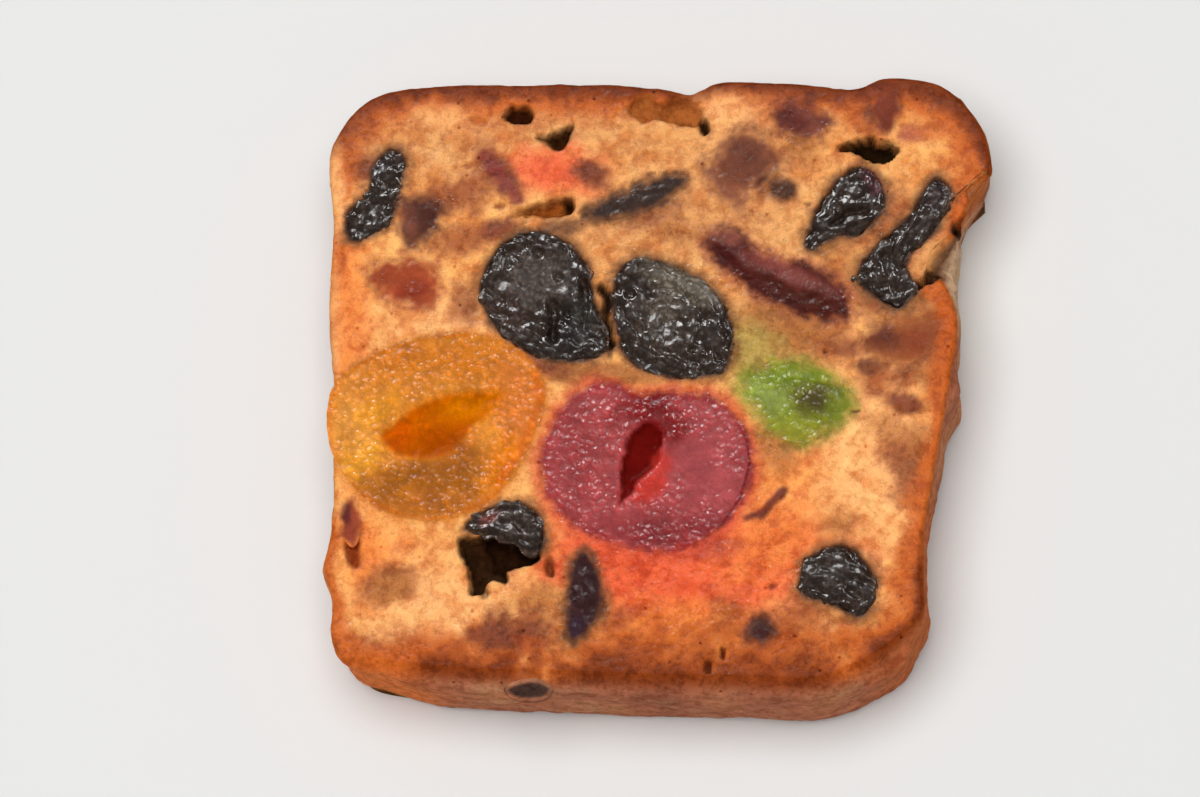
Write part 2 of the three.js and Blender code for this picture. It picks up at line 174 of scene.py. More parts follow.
def strewnPatches(look):
    # Soft round stains at random places in a bow round the slice, in the rows that stained() takes
    draw = np.random.default_rng(look["seed"])
    rows = []
    for _ in range(look["count"]):
        angle = math.radians(draw.uniform(look["from"], look["to"]))
        out = draw.uniform(look["near"], look["far"])
        long, wide = draw.uniform(look["small"], look["large"], 2)
        shade = look["shades"][draw.integers(len(look["shades"]))]
        x, y = out * math.cos(angle), out * math.sin(angle)
        rows.append((x, y, long, wide, draw.uniform(-40, 40), shade, look["share"], look["soft"]))
    return rows


def meshPiece(name, verts, faces, colours, moist, materials):
    # A finished piece at the origin, in metres, with its colour and its wetness kept on its points
    mesh = bpy.data.meshes.new(name)
    mesh.from_pydata((verts * metre).tolist(), [], faces)
    mesh.validate()
    mesh.shade_smooth()
    rgba = np.concatenate([colours, np.ones((len(colours), 1))], axis=1).astype(np.float32)
    mesh.attributes.new("tint", "FLOAT_COLOR", "POINT").data.foreach_set("color", rgba.ravel())
    wet = np.asarray(moist, np.float32)
    mesh.attributes.new("moist", "FLOAT", "POINT").data.foreach_set("value", wet)
    for material in materials:
        mesh.materials.append(material)
    piece = bpy.data.objects.new(name, mesh)
    bpy.context.scene.collection.objects.link(piece)
    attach(piece, "root")
    return piece


def newGroup(name, inputs, outputs):
    # An empty shader group with named sockets; inputs give each one's starting value
    group = bpy.data.node_groups.new(name, "ShaderNodeTree")
    for label, value in inputs.items():
        kind = "NodeSocketVector" if value is None else "NodeSocketFloat"
        socket = group.interface.new_socket(label, in_out="INPUT", socket_type=kind)
        if value is not None:
            socket.default_value = value
    for label in outputs:
        group.interface.new_socket(label, in_out="OUTPUT", socket_type="NodeSocketFloat")
    return group, group.nodes.new("NodeGroupInput"), group.nodes.new("NodeGroupOutput")


def addMath(tree, operation, first, second=None, third=None):
    # One Math node; each of its inputs is a socket or a number
    node = tree.nodes.new("ShaderNodeMath")
    node.operation = operation
    for place, value in enumerate((first, second, third)):
        if isinstance(value, (int, float)):
            node.inputs[place].default_value = value
        elif value is not None:
            tree.links.new(value, node.inputs[place])
    return node.outputs[0]


def setOrLink(tree, socket, value):
    # A number becomes the socket's own value, and a socket is linked to it
    if isinstance(value, (int, float)):
        socket.default_value = value
    else:
        tree.links.new(value, socket)


def addNoise(tree, vector, scale, detail=2.0, distortion=0.0):
    # Soft noise from 0 to 1, with scale waves to a millimetre
    node = tree.nodes.new("ShaderNodeTexNoise")
    node.inputs["Detail"].default_value = detail
    node.inputs["Distortion"].default_value = distortion
    tree.links.new(vector, node.inputs["Vector"])
    setOrLink(tree, node.inputs["Scale"], scale)
    return node.outputs["Fac"]


def addCells(tree, vector, scale):
    # Distance to the nearest of scattered points, with scale points to a millimetre
    node = tree.nodes.new("ShaderNodeTexVoronoi")
    tree.links.new(vector, node.inputs["Vector"])
    setOrLink(tree, node.inputs["Scale"], scale)
    return node.outputs["Distance"]


def addRange(tree, value, low, high, toLow=0.0, toHigh=1.0):
    # A smooth ramp from toLow to toHigh as value goes from low to high
    node = tree.nodes.new("ShaderNodeMapRange")
    node.interpolation_type = "SMOOTHSTEP"
    for label, number in zip(("From Min", "From Max", "To Min", "To Max"), (low, high, toLow, toHigh)):
        node.inputs[label].default_value = number
    tree.links.new(value, node.inputs["Value"])
    return node.outputs["Result"]


def warped(tree, vector, scale, amount):
    # The vector moved by the three channels of a slow noise, each by up to amount millimetres
    noise = tree.nodes.new("ShaderNodeTexNoise")
    noise.inputs["Scale"].default_value = scale
    tree.links.new(vector, noise.inputs["Vector"])
    moved = tree.nodes.new("ShaderNodeVectorMath")
    moved.operation = "MULTIPLY_ADD"
    moved.inputs[1].default_value = (amount, amount, amount)
    tree.links.new(noise.outputs["Color"], moved.inputs[0])
    tree.links.new(vector, moved.inputs[2])
    return moved.outputs[0]


def spongeGroup():
    # Fine sponge: mottling at three sizes, and sparse pinholes. Vector in millimetres. Shade is the
    # crumb's mottling and, since it follows the relief, also painted light on the high grain and painted
    # shade on the low. Deep says where the crumb lies low and where pinholes open: there the colour is
    # painted darker and fuller, as shade.
    inputs = {"Vector": None, "Pinhole Gap": 2.2}
    group, given, out = newGroup("sponge", inputs, ["Shade", "Deep", "Height"])
    vector = given.outputs["Vector"]
    broad = addNoise(group, vector, 0.7, 3.0, 0.5)
    fine = addNoise(group, vector, 2.1, 5.0, 0.4)
    grit = addNoise(group, vector, 6.0, 2.0)
    pinScale = addMath(group, "DIVIDE", 1.0, given.outputs["Pinhole Gap"])
    pin = addRange(group, addCells(group, vector, pinScale), 0.03, 0.1, 1.0, 0.0)
    mottle = addMath(group, "MULTIPLY_ADD", fine, 0.4, addMath(group, "MULTIPLY", broad, 0.6))
    shade = addMath(group, "MULTIPLY", addRange(group, mottle, 0.4, 0.6, 0.94, 1.12),
                    addRange(group, grit, 0.35, 0.65, 0.92, 1.08))
    group.links.new(shade, out.inputs["Shade"])
    # painted shade: darker and fuller where the crumb lies low and in the pinholes
    low = addRange(group, mottle, 0.38, 0.54, 0.34, 0.0)
    deep = addMath(group, "MAXIMUM", low, addMath(group, "MULTIPLY", pin, 0.8))
    group.links.new(deep, out.inputs["Deep"])
    height = addMath(group, "MULTIPLY_ADD", grit, 0.12, mottle)
    group.links.new(addMath(group, "MULTIPLY_ADD", pin, -0.5, height), out.inputs["Height"])
    return group


def syrupGroup():
    # Wet grain: an uneven skin of small drops in patches, which catch the light. Mask says where,
    # Height how high. Amount 0 is dry and 1 is wet all over.
    inputs = {"Vector": None, "Drop Size": 0.4, "Amount": 0.5}
    group, given, out = newGroup("syrup", inputs, ["Mask", "Height"])
    vector = given.outputs["Vector"]
    scale = addMath(group, "DIVIDE", 0.65, given.outputs["Drop Size"])
    cells = addCells(group, warped(group, vector, 1.1, 0.7), scale)
    dome = addRange(group, cells, 0.0, 0.76, 1.0, 0.0)
    noise = addNoise(group, vector, scale, 1.0)
    drops = addMath(group, "MULTIPLY_ADD", dome, 0.65, addMath(group, "MULTIPLY", noise, 0.5))
    fine = addNoise(group, vector, addMath(group, "MULTIPLY", scale, 2.7), 2.0)
    patches = addNoise(group, vector, addMath(group, "MULTIPLY", scale, 0.25), 3.0)
    limit = addMath(group, "MULTIPLY_ADD", given.outputs["Amount"], -0.45, 0.72)
    over = addMath(group, "SUBTRACT", patches, limit)
    high = addRange(group, drops, 0.3, 0.44)
    mask = addMath(group, "MULTIPLY", high, addRange(group, over, -0.03, 0.07))
    group.links.new(mask, out.inputs["Mask"])
    cover = addRange(group, over, -0.22, 0.08, 0.0, 1.0)
    grain = addMath(group, "MULTIPLY_ADD", fine, 0.05, drops)
    height = addMath(group, "MULTIPLY", addMath(group, "SUBTRACT", grain, 0.45), cover)
    group.links.new(height, out.inputs["Height"])
    return group


def wrinkleGroup():
    # Shrivelled skin: warped cells whose borders sink between rounded folds. In millimetres.
    group, given, out = newGroup("wrinkle", {"Vector": None, "Fold Size": 0.6}, ["Fold", "Height"])
    vector = given.outputs["Vector"]
    scale = addMath(group, "DIVIDE", 1.0, given.outputs["Fold Size"])
    cells = addCells(group, warped(group, vector, 0.9, 1.2), scale)
    fold = addRange(group, cells, 0.05, 0.75, 1.0, 0.0)
    fine = addNoise(group, vector, addMath(group, "MULTIPLY", scale, 2.2), 3.0)
    height = addMath(group, "MULTIPLY_ADD", fine, 0.5, fold)
    group.links.new(fold, out.inputs["Fold"])
    group.links.new(height, out.inputs["Height"])
    return group


groups = {"sponge": spongeGroup(), "syrup": syrupGroup(), "wrinkle": wrinkleGroup()}


def startFinish(name):
    # A material with its Principled shader, the tint and moist attributes, and Object coordinates
    # turned into millimetres
    material = bpy.data.materials.new(name)
    material.use_nodes = True
    tree = material.node_tree
    shader = tree.nodes["Principled BSDF"]
    tint = tree.nodes.new("ShaderNodeAttribute")
    tint.attribute_name = "tint"
    moist = tree.nodes.new("ShaderNodeAttribute")
    moist.attribute_name = "moist"
    place = tree.nodes.new("ShaderNodeTexCoord")
    scaled = tree.nodes.new("ShaderNodeVectorMath")
    scaled.operation = "SCALE"
    scaled.inputs["Scale"].default_value = 1 / metre
    tree.links.new(place.outputs["Object"], scaled.inputs[0])
    return material, tree, shader, tint.outputs["Color"], moist.outputs["Fac"], scaled.outputs[0]


def addGroup(tree, name, vector, values):
    # One of the shared groups, with its own numbers or links
    node = tree.nodes.new("ShaderNodeGroup")
    node.node_tree = groups[name]
    tree.links.new(vector, node.inputs["Vector"])
    for label, value in values.items():
        setOrLink(tree, node.inputs[label], value)
    return node.outputs


def shaded(tree, colour, factor):
    # A colour multiplied by a grey value
    node = tree.nodes.new("ShaderNodeVectorMath")
    node.operation = "SCALE"
    tree.links.new(colour, node.inputs[0])
    tree.links.new(factor, node.inputs["Scale"])
    return node.outputs[0]


def addBump(tree, height, depth, normal=None):
    # depth in millimetres
    node = tree.nodes.new("ShaderNodeBump")
    node.inputs["Strength"].default_value = 1.0
    node.inputs["Distance"].default_value = depth * metre
    tree.links.new(height, node.inputs["Height"])
    if normal is not None:
        tree.links.new(normal, node.inputs["Normal"])
    return node.outputs[0]


def deepened(tree, colour, factor):
    # A colour moved towards its own square, which is darker and fuller
    square = tree.nodes.new("ShaderNodeVectorMath")
    square.operation = "MULTIPLY"
    tree.links.new(colour, square.inputs[0])
    tree.links.new(colour, square.inputs[1])
    mix = tree.nodes.new("ShaderNodeMix")
    mix.data_type = "RGBA"
    tree.links.new(factor, mix.inputs["Factor"])
    tree.links.new(colour, mix.inputs["A"])
    tree.links.new(square.outputs[0], mix.inputs["B"])
    return mix.outputs["Result"]


def setSoft(shader, weight, radius, scale):
    # Light spreads under the surface: share, share by colour, and distance in millimetres
    shader.inputs["Subsurface Weight"].default_value = weight
    shader.inputs["Subsurface Radius"].default_value = radius
    shader.inputs["Subsurface Scale"].default_value = scale * metre


def crumbFinish(name, specular, roughness):
    # Moist sponge or dry crust: the sponge's painted light and shade (darker and fuller where it lies
    # low, lighter where it is high), and wet grain where it is moist
    material, tree, shader, tint, moist, vector = startFinish(name)
    sponge = addGroup(tree, "sponge", vector, {"Pinhole Gap": 2.3})
    syrup = addGroup(tree, "syrup", vector, {"Drop Size": 0.45, "Amount": moist})
    colour = deepened(tree, shaded(tree, tint, sponge["Shade"]), sponge["Deep"])
    tree.links.new(colour, shader.inputs["Base Color"])
    bump = addBump(tree, sponge["Height"], 0.3)
    tree.links.new(addBump(tree, syrup["Height"], 0.18, bump), shader.inputs["Normal"])
    wet = addRange(tree, syrup["Mask"], 0.0, 0.6, roughness, 0.14)
    dry = addRange(tree, moist, 0.02, 0.12, 0.4, 0.0)
    tree.links.new(addMath(tree, "ADD", wet, dry), shader.inputs["Roughness"])
    setSoft(shader, 0.3, (1.0, 0.45, 0.2), 0.8)
    shader.inputs["Specular IOR Level"].default_value = specular
    return material


def raisinFinish():
    # Dark shrivelled skin, with painted shade in the creases between its folds and painted light on
    # the folds, and a wet shine in patches
    material, tree, shader, tint, moist, vector = startFinish("raisinSkin")
    wrinkle = addGroup(tree, "wrinkle", vector, {"Fold Size": 0.5})
    syrup = addGroup(tree, "syrup", vector, {"Drop Size": 0.5, "Amount": moist})
    # painted shade in the creases and painted light on the folds
    fold = addRange(tree, wrinkle["Fold"], 0.0, 1.0, 0.5, 1.25)
    tree.links.new(shaded(tree, tint, fold), shader.inputs["Base Color"])
    bump = addBump(tree, wrinkle["Height"], 0.01)
    tree.links.new(addBump(tree, syrup["Height"], 0.03, bump), shader.inputs["Normal"])
    tree.links.new(addRange(tree, syrup["Mask"], 0.0, 0.7, 0.33, 0.2), shader.inputs["Roughness"])
    shader.inputs["Specular IOR Level"].default_value = 0.45
    return material


def cherryFinish(name, radius, scale, drop, depth, gloss):
    # Clear candied flesh. Drop and depth are the size and height of its wet grain in millimetres.
    material, tree, shader, tint, moist, vector = startFinish(name)
    sponge = addGroup(tree, "sponge", vector, {"Pinhole Gap": 9.0})
    syrup = addGroup(tree, "syrup", vector, {"Drop Size": drop, "Amount": moist})
    # painted light and shade: the colour is lighter on the high grain and the drops, darker between them
    drops = addRange(tree, syrup["Height"], -0.2, 0.3, 0.86, 1.14)
    grain = addMath(tree, "MULTIPLY", sponge["Shade"], drops)
    tree.links.new(shaded(tree, tint, grain), shader.inputs["Base Color"])
    bump = addBump(tree, sponge["Height"], 0.16)
    tree.links.new(addBump(tree, syrup["Height"], depth, bump), shader.inputs["Normal"])
    tree.links.new(addRange(tree, syrup["Mask"], 0.0, 0.5, 0.27, 0.16), shader.inputs["Roughness"])
    setSoft(shader, 0.4, radius, scale)
    shader.inputs["Specular IOR Level"].default_value = gloss
    return material


def driedFinish():
    # Soft dried fruit: its own colour under the sponge's painted light and shade, and a little syrup
    material, tree, shader, tint, moist, vector = startFinish("driedFlesh")
    sponge = addGroup(tree, "sponge", vector, {"Pinhole Gap": 2.3})
    syrup = addGroup(tree, "syrup", vector, {"Drop Size": 0.45, "Amount": moist})
    # painted light and shade of the sponge's grain over the fruit's colour
    tree.links.new(shaded(tree, tint, sponge["Shade"]), shader.inputs["Base Color"])
    bump = addBump(tree, sponge["Height"], 0.2)
    tree.links.new(addBump(tree, syrup["Height"], 0.18, bump), shader.inputs["Normal"])
    tree.links.new(addRange(tree, syrup["Mask"], 0.0, 0.6, 0.27, 0.14), shader.inputs["Roughness"])
    setSoft(shader, 0.3, (1.0, 0.45, 0.2), 0.8)
    shader.inputs["Specular IOR Level"].default_value = 0.16
    return material


finishes = {
    "crumb": crumbFinish("spongeCrumb", 0.15, 0.42),
    "crust": crumbFinish("brownedCrust", 0.02, 0.6),
    "raisin": raisinFinish(),
    "red": cherryFinish("redCherryFlesh", (1.0, 0.12, 0.12), 1.6, 0.5, 0.26, 0.34),
    "yellow": cherryFinish("amberCherryFlesh", (1.0, 0.55, 0.12), 1.8, 0.42, 0.18, 0.22),
    "redPit": cherryFinish("redCherryPit", (1.0, 0.12, 0.12), 1.6, 0.5, 0.1, 0.02),
    "yellowPit": cherryFinish("amberCherryPit", (1.0, 0.55, 0.12), 1.8, 0.42, 0.08, 0.02),
    "green": cherryFinish("greenCherryFlesh", (0.6, 1.0, 0.15), 1.6, 0.5, 0.22, 0.3),
    "dried": driedFinish(),
}
print("finishes made")


# the few shades that the stains of the crumb are drawn in
crumbShades = {
    "pale": "#F8AC70", "gold": "#E09A60", "amber": "#F08840", "tan": "#BC7840", "brown": "#A45830",
    "juice": "#8A4A30", "dark": "#5C4030", "seam": "#201510", "coral": "#F06840", "berry": "#B04840",
    "olive": "#A89448",
}

cake = {
    "cells": 240,          # along each side of the upper face
    "edge": [
        (27.6, -20.5), (27.8, -15.7), (28.9, -9.9), (29.9, -4.6), (31, 1.8), (31.7, 6.9), (30.5, 10.7),
        (28.9, 12), (29.8, 13.4), (31.3, 15.3), (32.6, 17.9), (33.7, 20.6), (35.2, 21.5), (35.5, 23.6),
        (34.7, 27.2), (33, 30.1), (30.5, 32.4), (27.4, 33.3), (23.8, 33.4), (20.6, 32.4), (14.2, 33.2),
        (7.1, 33.4), (4.8, 32.7), (3.4, 32.2), (0.8, 32.8), (-2.6, 33.2), (-6.1, 33.5), (-13.2, 33.6),
        (-22.2, 33.8), (-28.8, 33.1), (-32.1, 31.5), (-34.3, 28.7), (-35.4, 25.4), (-34.9, 18.3),
        (-35.2, 9), (-34.6, 1.4), (-34.5, -5.6), (-34.5, -12.1), (-34.8, -15.6), (-35.4, -18.8),
        (-34.5, -22.2), (-34.7, -25.6), (-33.8, -28.3), (-31.8, -30.2), (-27.1, -31.2), (-19.7, -31.9),
        (-12.4, -32.2), (-3.2, -32.7), (8.4, -33.1), (15.7, -33.4), (20.3, -32.1), (23.6, -29.7),
        (26.1, -26.9), (27.7, -24.2),
    ],
    # height, and how far the side stays inside the full outline there
    "side": [(0, 0.9), (0.5, 0.25), (2, 0), (6, -0.1), (10, 0), (13.2, 0), (14.6, 0.05), (15.6, 0.2),
             (16, 0.55)],
    "frontSide": [(0, 0), (12, 0), (13.5, 0.15), (14.8, 0.6), (15.5, 1.1), (16, 1.8)],
    # where the side stands out below the upper edge: x, y, distance, reach
    "swells": [(30, 12.6, 1.9, 2.6), (33.4, 18.4, -0.9, 2.4), (35.3, 22.4, -1.3, 2), (30.4, -0.5, 1, 2.2),
               (27, -26.6, 0.2, 4), (24.8, -29.8, 0.9, 2.6), (-31, -31.4, -1, 5), (9, 33.4, 0.3, 9)],
    "swellTop": 15.2, "swellFull": 13,  # the swells begin at one height and are full at the other
    "crumb": "#F3A662", "crust": "#7E3A16", "warm": "#CC6422",
    "underPale": "#DDAA72", "underWarm": "#F08A48",
    # how wide the warm orange and the brown crust are inside the edge, by direction in degrees
    "browning": [
        (0, 2.2, 0.2), (20, 2.6, 0.4), (33, 5, 0.9), (42, 6.6, 2.8), (55, 6.6, 3.6), (66, 4.8, 2.6),
        (76, 3.6, 1.6), (90, 4.4, 2.2), (110, 5.2, 2.4), (122, 5.4, 2.4), (132, 5.2, 2.6), (141, 4, 1.4),
        (150, 2.6, 0.3), (162, 1.6, 0.2), (172, 0.8, 0.05), (200, 0.7, 0.02), (212, 1.6, 0.2),
        (222, 4, 0.8), (232, 7.4, 4.4), (240, 8.6, 5.8), (258, 8.6, 5.4), (278, 8.6, 5.2),
        (296, 8.4, 5.2), (311, 6, 2.8), (326, 3.4, 0.9), (342, 2.4, 0.3),
    ],
    "stains": [
        (-24, 27.9, 11.6, 6.5, 0, "gold", 0.8, 0.8), (-10.3, 29.8, 10, 3.9, 0, "gold", 0.8, 0.8),
        (7, 18.2, 15.8, 10.2, -20, "gold", 0.85, 0.8), (10.7, 30.2, 9.5, 3.2, 0, "gold", 0.7, 0.8),
        (-1.9, 16, 6.3, 3.2, 0, "gold", 0.6, 0.8), (-33.2, 7.4, 2.7, 12.9, 0, "amber", 0.85, 0.7),
        (-24, 6.8, 6.3, 3.9, 0, "pale", 0.9, 0.8), (22.5, -8.8, 6.5, 10.8, 10, "pale", 0.9, 0.8),
        (13.3, -9.7, 4.2, 6.5, 0, "amber", 0.6, 0.9), (-24, -22.8, 8.4, 5.4, 0, "pale", 0.9, 0.8),
        (-30.3, -17.2, 3.6, 4.5, 0, "amber", 0.8, 0.8), (-0.3, -24.1, 7.9, 3.7, 0, "amber", 0.8, 0.7),
        (3.3, -18.5, 14.2, 5.6, -3, "coral", 0.95, 0.7), (5.2, -20.2, 5.8, 3.5, 0, "coral", 0.9, 0.6),
        (-4.9, -18.7, 5.3, 3.9, 10, "coral", 0.8, 0.7), (11.5, -16.9, 5.3, 3.2, 20, "amber", 0.6, 0.8),
        (28.6, 9.5, 2.7, 6.5, 0, "tan", 0.8, 0.6), (29.9, 4.7, 2.1, 4.3, 0, "brown", 0.8, 0.6),
        (14.9, 5.6, 6.3, 2.6, -20, "brown", 0.7, 0.7), (10.2, 4.7, 4.2, 2.8, -20, "olive", 0.6, 0.8),
        (8.4, 2.8, 2.7, 2.8, 0, "olive", 0.5, 0.8), (-8.8, 1.8, 4.8, 1.4, -8, "tan", 0.85, 0.6),
        (-11.4, 23.8, 5.5, 2.6, -10, "coral", 0.8, 0.7), (-6.8, 23.3, 2.1, 1.3, -25, "juice", 0.85, 0.5),
        (-17, 23.8, 1.6, 3.2, 32, "juice", 0.85, 0.6), (-21.4, 21.4, 4.2, 1.9, 20, "brown", 0.75, 0.6),
        (-20, 16.5, 4.7, 1.5, 10, "brown", 0.7, 0.6), (-17, 17.5, 1.9, 1.2, 0, "juice", 0.8, 0.5),
        (2.3, 16.9, 2.3, 1.4, 0, "tan", 0.7, 0.7), (12.9, 21.1, 1.9, 1.3, -20, "dark", 0.9, 0.5),
        (27, 27, 1.5, 1, 0, "berry", 0.6, 0.6), (22.3, 1.8, 1.5, 0.9, 0, "dark", 0.8, 0.5),
        (26.1, -2.2, 2.1, 1, -10, "juice", 0.8, 0.5), (23.9, -4.7, 2.6, 1.3, -20, "tan", 0.6, 0.7),
        (25.8, -11.7, 1.6, 1.6, 0, "brown", 0.7, 0.7), (-28.2, -20.7, 3.2, 1.8, 10, "brown", 0.8, 0.7),
        (-16.7, -26.3, 2.7, 2.6, 0, "juice", 0.8, 0.7), (-12.5, -22.8, 3.2, 1.9, 0, "tan", 0.7, 0.8),
        (10.4, -29.5, 2.7, 1.9, 0, "juice", 0.7, 0.7), (-7.2, -28.2, 3.2, 1.4, 0, "brown", 0.6, 0.8),
        (-26.1, -28.2, 6.3, 2.2, 0, "brown", 0.6, 0.8), (22.1, -27.2, 3.8, 2.8, 20, "tan", 0.6, 0.8),
        (-20.3, 9.5, 1.6, 2.2, 0, "juice", 0.6, 0.7), (19.3, 4.1, 1.9, 1.1, 0, "juice", 0.6, 0.6),
        (-0.3, 18.7, 3.6, 1.1, 20, "juice", 0.5, 0.7), (23.1, 30.7, 2.3, 3.7, -12, "juice", 0.7, 0.7),
    ],
    # brown patches strewn inside the crust at the right and at the foot
    "patches": {"count": 30, "seed": 61, "from": -140, "to": 60, "near": 23, "far": 31, "small": 1.4,
                "large": 2.8, "shades": ("brown", "tan", "juice"), "share": 0.65, "soft": 0.8},
    # stains over the juice round the fruit; the last two, pale along the left edge, are painted light
    "lateStains": [
        (-3.4, 1.6, 3.4, 0.9, -8, "tan", 0.85, 0.5), (12.4, -6.8, 1.8, 2.4, 30, "tan", 0.8, 0.7),
        (15, 6.2, 4, 1.6, -20, "tan", 0.8, 0.7), (8.2, 18.4, 3, 2, 0, "gold", 0.6, 0.8),
        (-10, 17.6, 2, 1, 0, "dark", 0.7, 0.7), (-23.9, -21.4, 2.6, 2.2, 0, "pale", 0.8, 0.8),
        (-28.2, -20.8, 2.6, 1.5, 10, "tan", 0.85, 0.7), (-12.6, 2.6, 3.2, 0.8, -18, "juice", 0.7, 0.6),
        (7.4, 30, 3.2, 1.8, 0, "pale", 0.75, 0.8), (6, -17.2, 2.6, 1.2, 10, "berry", 0.5, 0.8),
        (-31.2, 24.2, 1.2, 1.6, 0, "juice", 0.7, 0.8), (-19, -26.4, 1.2, 1, 0, "juice", 0.6, 0.7),
        (28.4, 13.6, 2.6, 1.2, 48, "gold", 0.85, 0.6), (-22.8, 29.8, 3.4, 1.1, 0, "pale", 0.65, 0.8),
        (-16.7, -26.4, 1.9, 1.5, 0, "juice", 0.75, 0.7), (3.4, -24.2, 2.2, 1.5, 0, "amber", 0.6, 0.8),
        (-32.4, 28.9, 2.4, 1.5, 45, "brown", 0.65, 0.8), (24.4, -30, 2.4, 1.5, 40, "juice", 0.6, 0.8),
        # painted light: pale streaks along the left edge
        (-34.4, 22, 0.9, 5, 0, "pale", 0.8, 0.7), (-34.6, 6, 0.8, 9, 0, "pale", 0.6, 0.8),
    ],
    # slim strokes of colour over the crumb: path, half width, colour, share
    "strokes": [([(9.2, -14.1), (10.8, -13.6), (11.9, -12.4), (13, -11.4)], 0.55, "#6E3228", 0.9),
                ([(-18.6, 25.8), (-17.6, 24.2), (-16.4, 22.6), (-15, 20.9)], 0.8, "#8C3A40", 0.6)],
    # where syrup wets the crumb: x, y, half length, half width, turn, amount
    "wet": [(3, -20.5, 12.5, 6, 0, 0.6), (-20.2, -24.4, 1.3, 1.2, 0, 0.9), (-2.7, 15.4, 1.2, 0.9, 0, 0.8),
            (13.8, 20.1, 0.9, 0.8, 0, 0.8), (8, 13.5, 9, 4, -30, 0.45), (12, -21, 5, 3.5, 0, 0.5),
            (1.4, 0.2, 0.7, 0.5, 0, 1), (-15.5, -21, 4, 2.5, 0, 0.45), (11, 4, 6, 3, 0, 0.4),
            (10.5, -8, 3, 6, 20, 0.5)],
    # open hollows in the upper face: outline, depth, width of the wall, colour. The darkest colours
    # are painted shade inside the deep holes, the crack and the gap between the centre raisins.
    "hollows": [
        ([(19.3, 25.8), (21, 26.4), (22.3, 27.2), (23.6, 26.3), (25, 26.1), (26, 25.3), (24.2, 24.2),
          (22.6, 24.3), (20.8, 25)], 3.4, 0.35, "#080302"),
        ([(-16.6, 30.2), (-15.8, 31.4), (-14.8, 31.1), (-13.8, 31.2), (-13, 30.2), (-13.6, 29.2),
          (-15.2, 29.1)], 2.4, 0.4, "#2C0E05"),
        ([(-12.8, 27.2), (-11.4, 27.9), (-10, 28.9), (-9.2, 28.8), (-9.4, 26.8), (-10.6, 26)], 2.2, 0.5,
         "#3A1A08"),
        ([(-16.2, 19), (-14, 19.9), (-11.8, 20.7), (-9.2, 20.9), (-8.6, 19.4), (-10.6, 18.5),
          (-13.2, 18.4)], 1.8, 0.7, "#8E4A1A"),
        ([(-10.2, 20.6), (-9.2, 20.8), (-8.8, 19.6), (-9.6, 19)], 1.4, 0.5, "#2E160A"),
        ([(-18, -15.2), (-16, -16), (-14, -16.8), (-12.2, -17.6), (-13.4, -19), (-14.6, -18.9),
          (-16, -18.8), (-16.8, -19.6), (-18.2, -18.4)], 1.5, 0.5, "#060302"),
        ([(-20.6, -16.2), (-18.6, -15.5), (-16.4, -16.1), (-14.4, -16.9), (-12.7, -17.9), (-13.8, -19.1),
          (-15.8, -19), (-16.6, -18.8), (-16.5, -20.1), (-17.7, -20.8), (-18.6, -22), (-19.6, -21.9),
          (-20, -20.4), (-20.8, -18.4)], 2.6, 0.5, "#2A160A"),
        ([(-11.8, -18.2), (-11, -18.4), (-10.9, -20), (-11.8, -19.8)], 1.2, 0.4, "#8A4426"),
        ([(-2.6, 31.4), (-2.2, 29.6), (1, 28.9), (4.2, 28.3), (4.4, 30.2), (3.4, 31.2), (0.6, 31.6)], 1.2,
         0.5, "#A8602C"),
        ([(4.3, 29), (5.2, 29.1), (5.5, 27.8), (4.7, 27.4)], 2.4, 0.35, "#2E160A"),
        ([(27, 10.9), (28.6, 11.9), (30.4, 13.2), (31, 15.2), (31.2, 17.4), (31.8, 17.3), (32.2, 14.8),
          (33.6, 13), (30.6, 11.7), (28.8, 10.9), (27.4, 10.3)], 3.4, 0.3, "#2A140A"),
        ([(-6.2, 10.6), (-5.2, 10.8), (-4.9, 8.4), (-4.6, 6.2), (-4.6, 3.8), (-5.2, 3.6), (-5.6, 6.4)],
         1.2, 0.5, "#140C0A"),
        ([(-33, -16), (-31.8, -15.6), (-31.2, -17.6), (-31.6, -19), (-32.8, -18)], 1.3, 0.6, "#9A4420"),
    ],
    # small dents and pinholes: x, y, half length, half width, turn, depth, colour
    "pits": [(-19.1, 29.5, 1, 0.55, -10, 0.5, "#B4602A"), (5.1, -29.8, 0.4, 0.7, 0, 0.9, "#4A1E0C"),
             (6.6, -28.4, 0.3, 0.7, 10, 0.9, "#5A240E"), (2.2, -31.3, 0.5, 0.3, 0, 0.8, "#5A240E"),
             (-20.3, 24.6, 0.5, 0.3, 0, 0.3, "#A85A34"), (-16.9, 20, 0.7, 0.35, 0, 0.3, "#9A5028"),
             (15.9, 19.6, 0.4, 0.3, 0, 0.4, "#8A5A34"), (17.6, 3.6, 0.3, 0.2, 0, 0.5, "#4A2414"),
             (20.8, -2.9, 0.5, 0.2, 0, 0.4, "#4A1E10"), (11.8, -21.4, 0.5, 0.35, 30, 0.4, "#8A3C24")],
}

# the halo round a raisin is juice drawn into the crumb and painted shade at its edge
raisinLook = {"finish": "raisin", "slot": "raisin_skin", "base": "#382A22", "moist": 0.8,
              "lump": 0.24, "bead": 0.4, "soft": 0.3, "halo": "#8A6038", "rim": ("#6A4A34", 0.35, 0.5)}
driedLook = {"finish": "dried", "slot": "dried_fruit", "base": "#6A3424", "moist": 0.16,
             "lump": 0.1, "bead": 0.03, "soft": 0.6}
cherryLook = {"moist": 0.75, "lump": 0.05, "bead": 0.04, "soft": 0.3, "spacing": 0.14}
plainSpacing = 0.15  # between the points of a fruit's mesh, where its look gives none
haloWidth = {"raisin": 1.2, "dried": 1.2, "crust": 1.2, "red": 2.0, "yellow": 0.9, "green": 1.8}

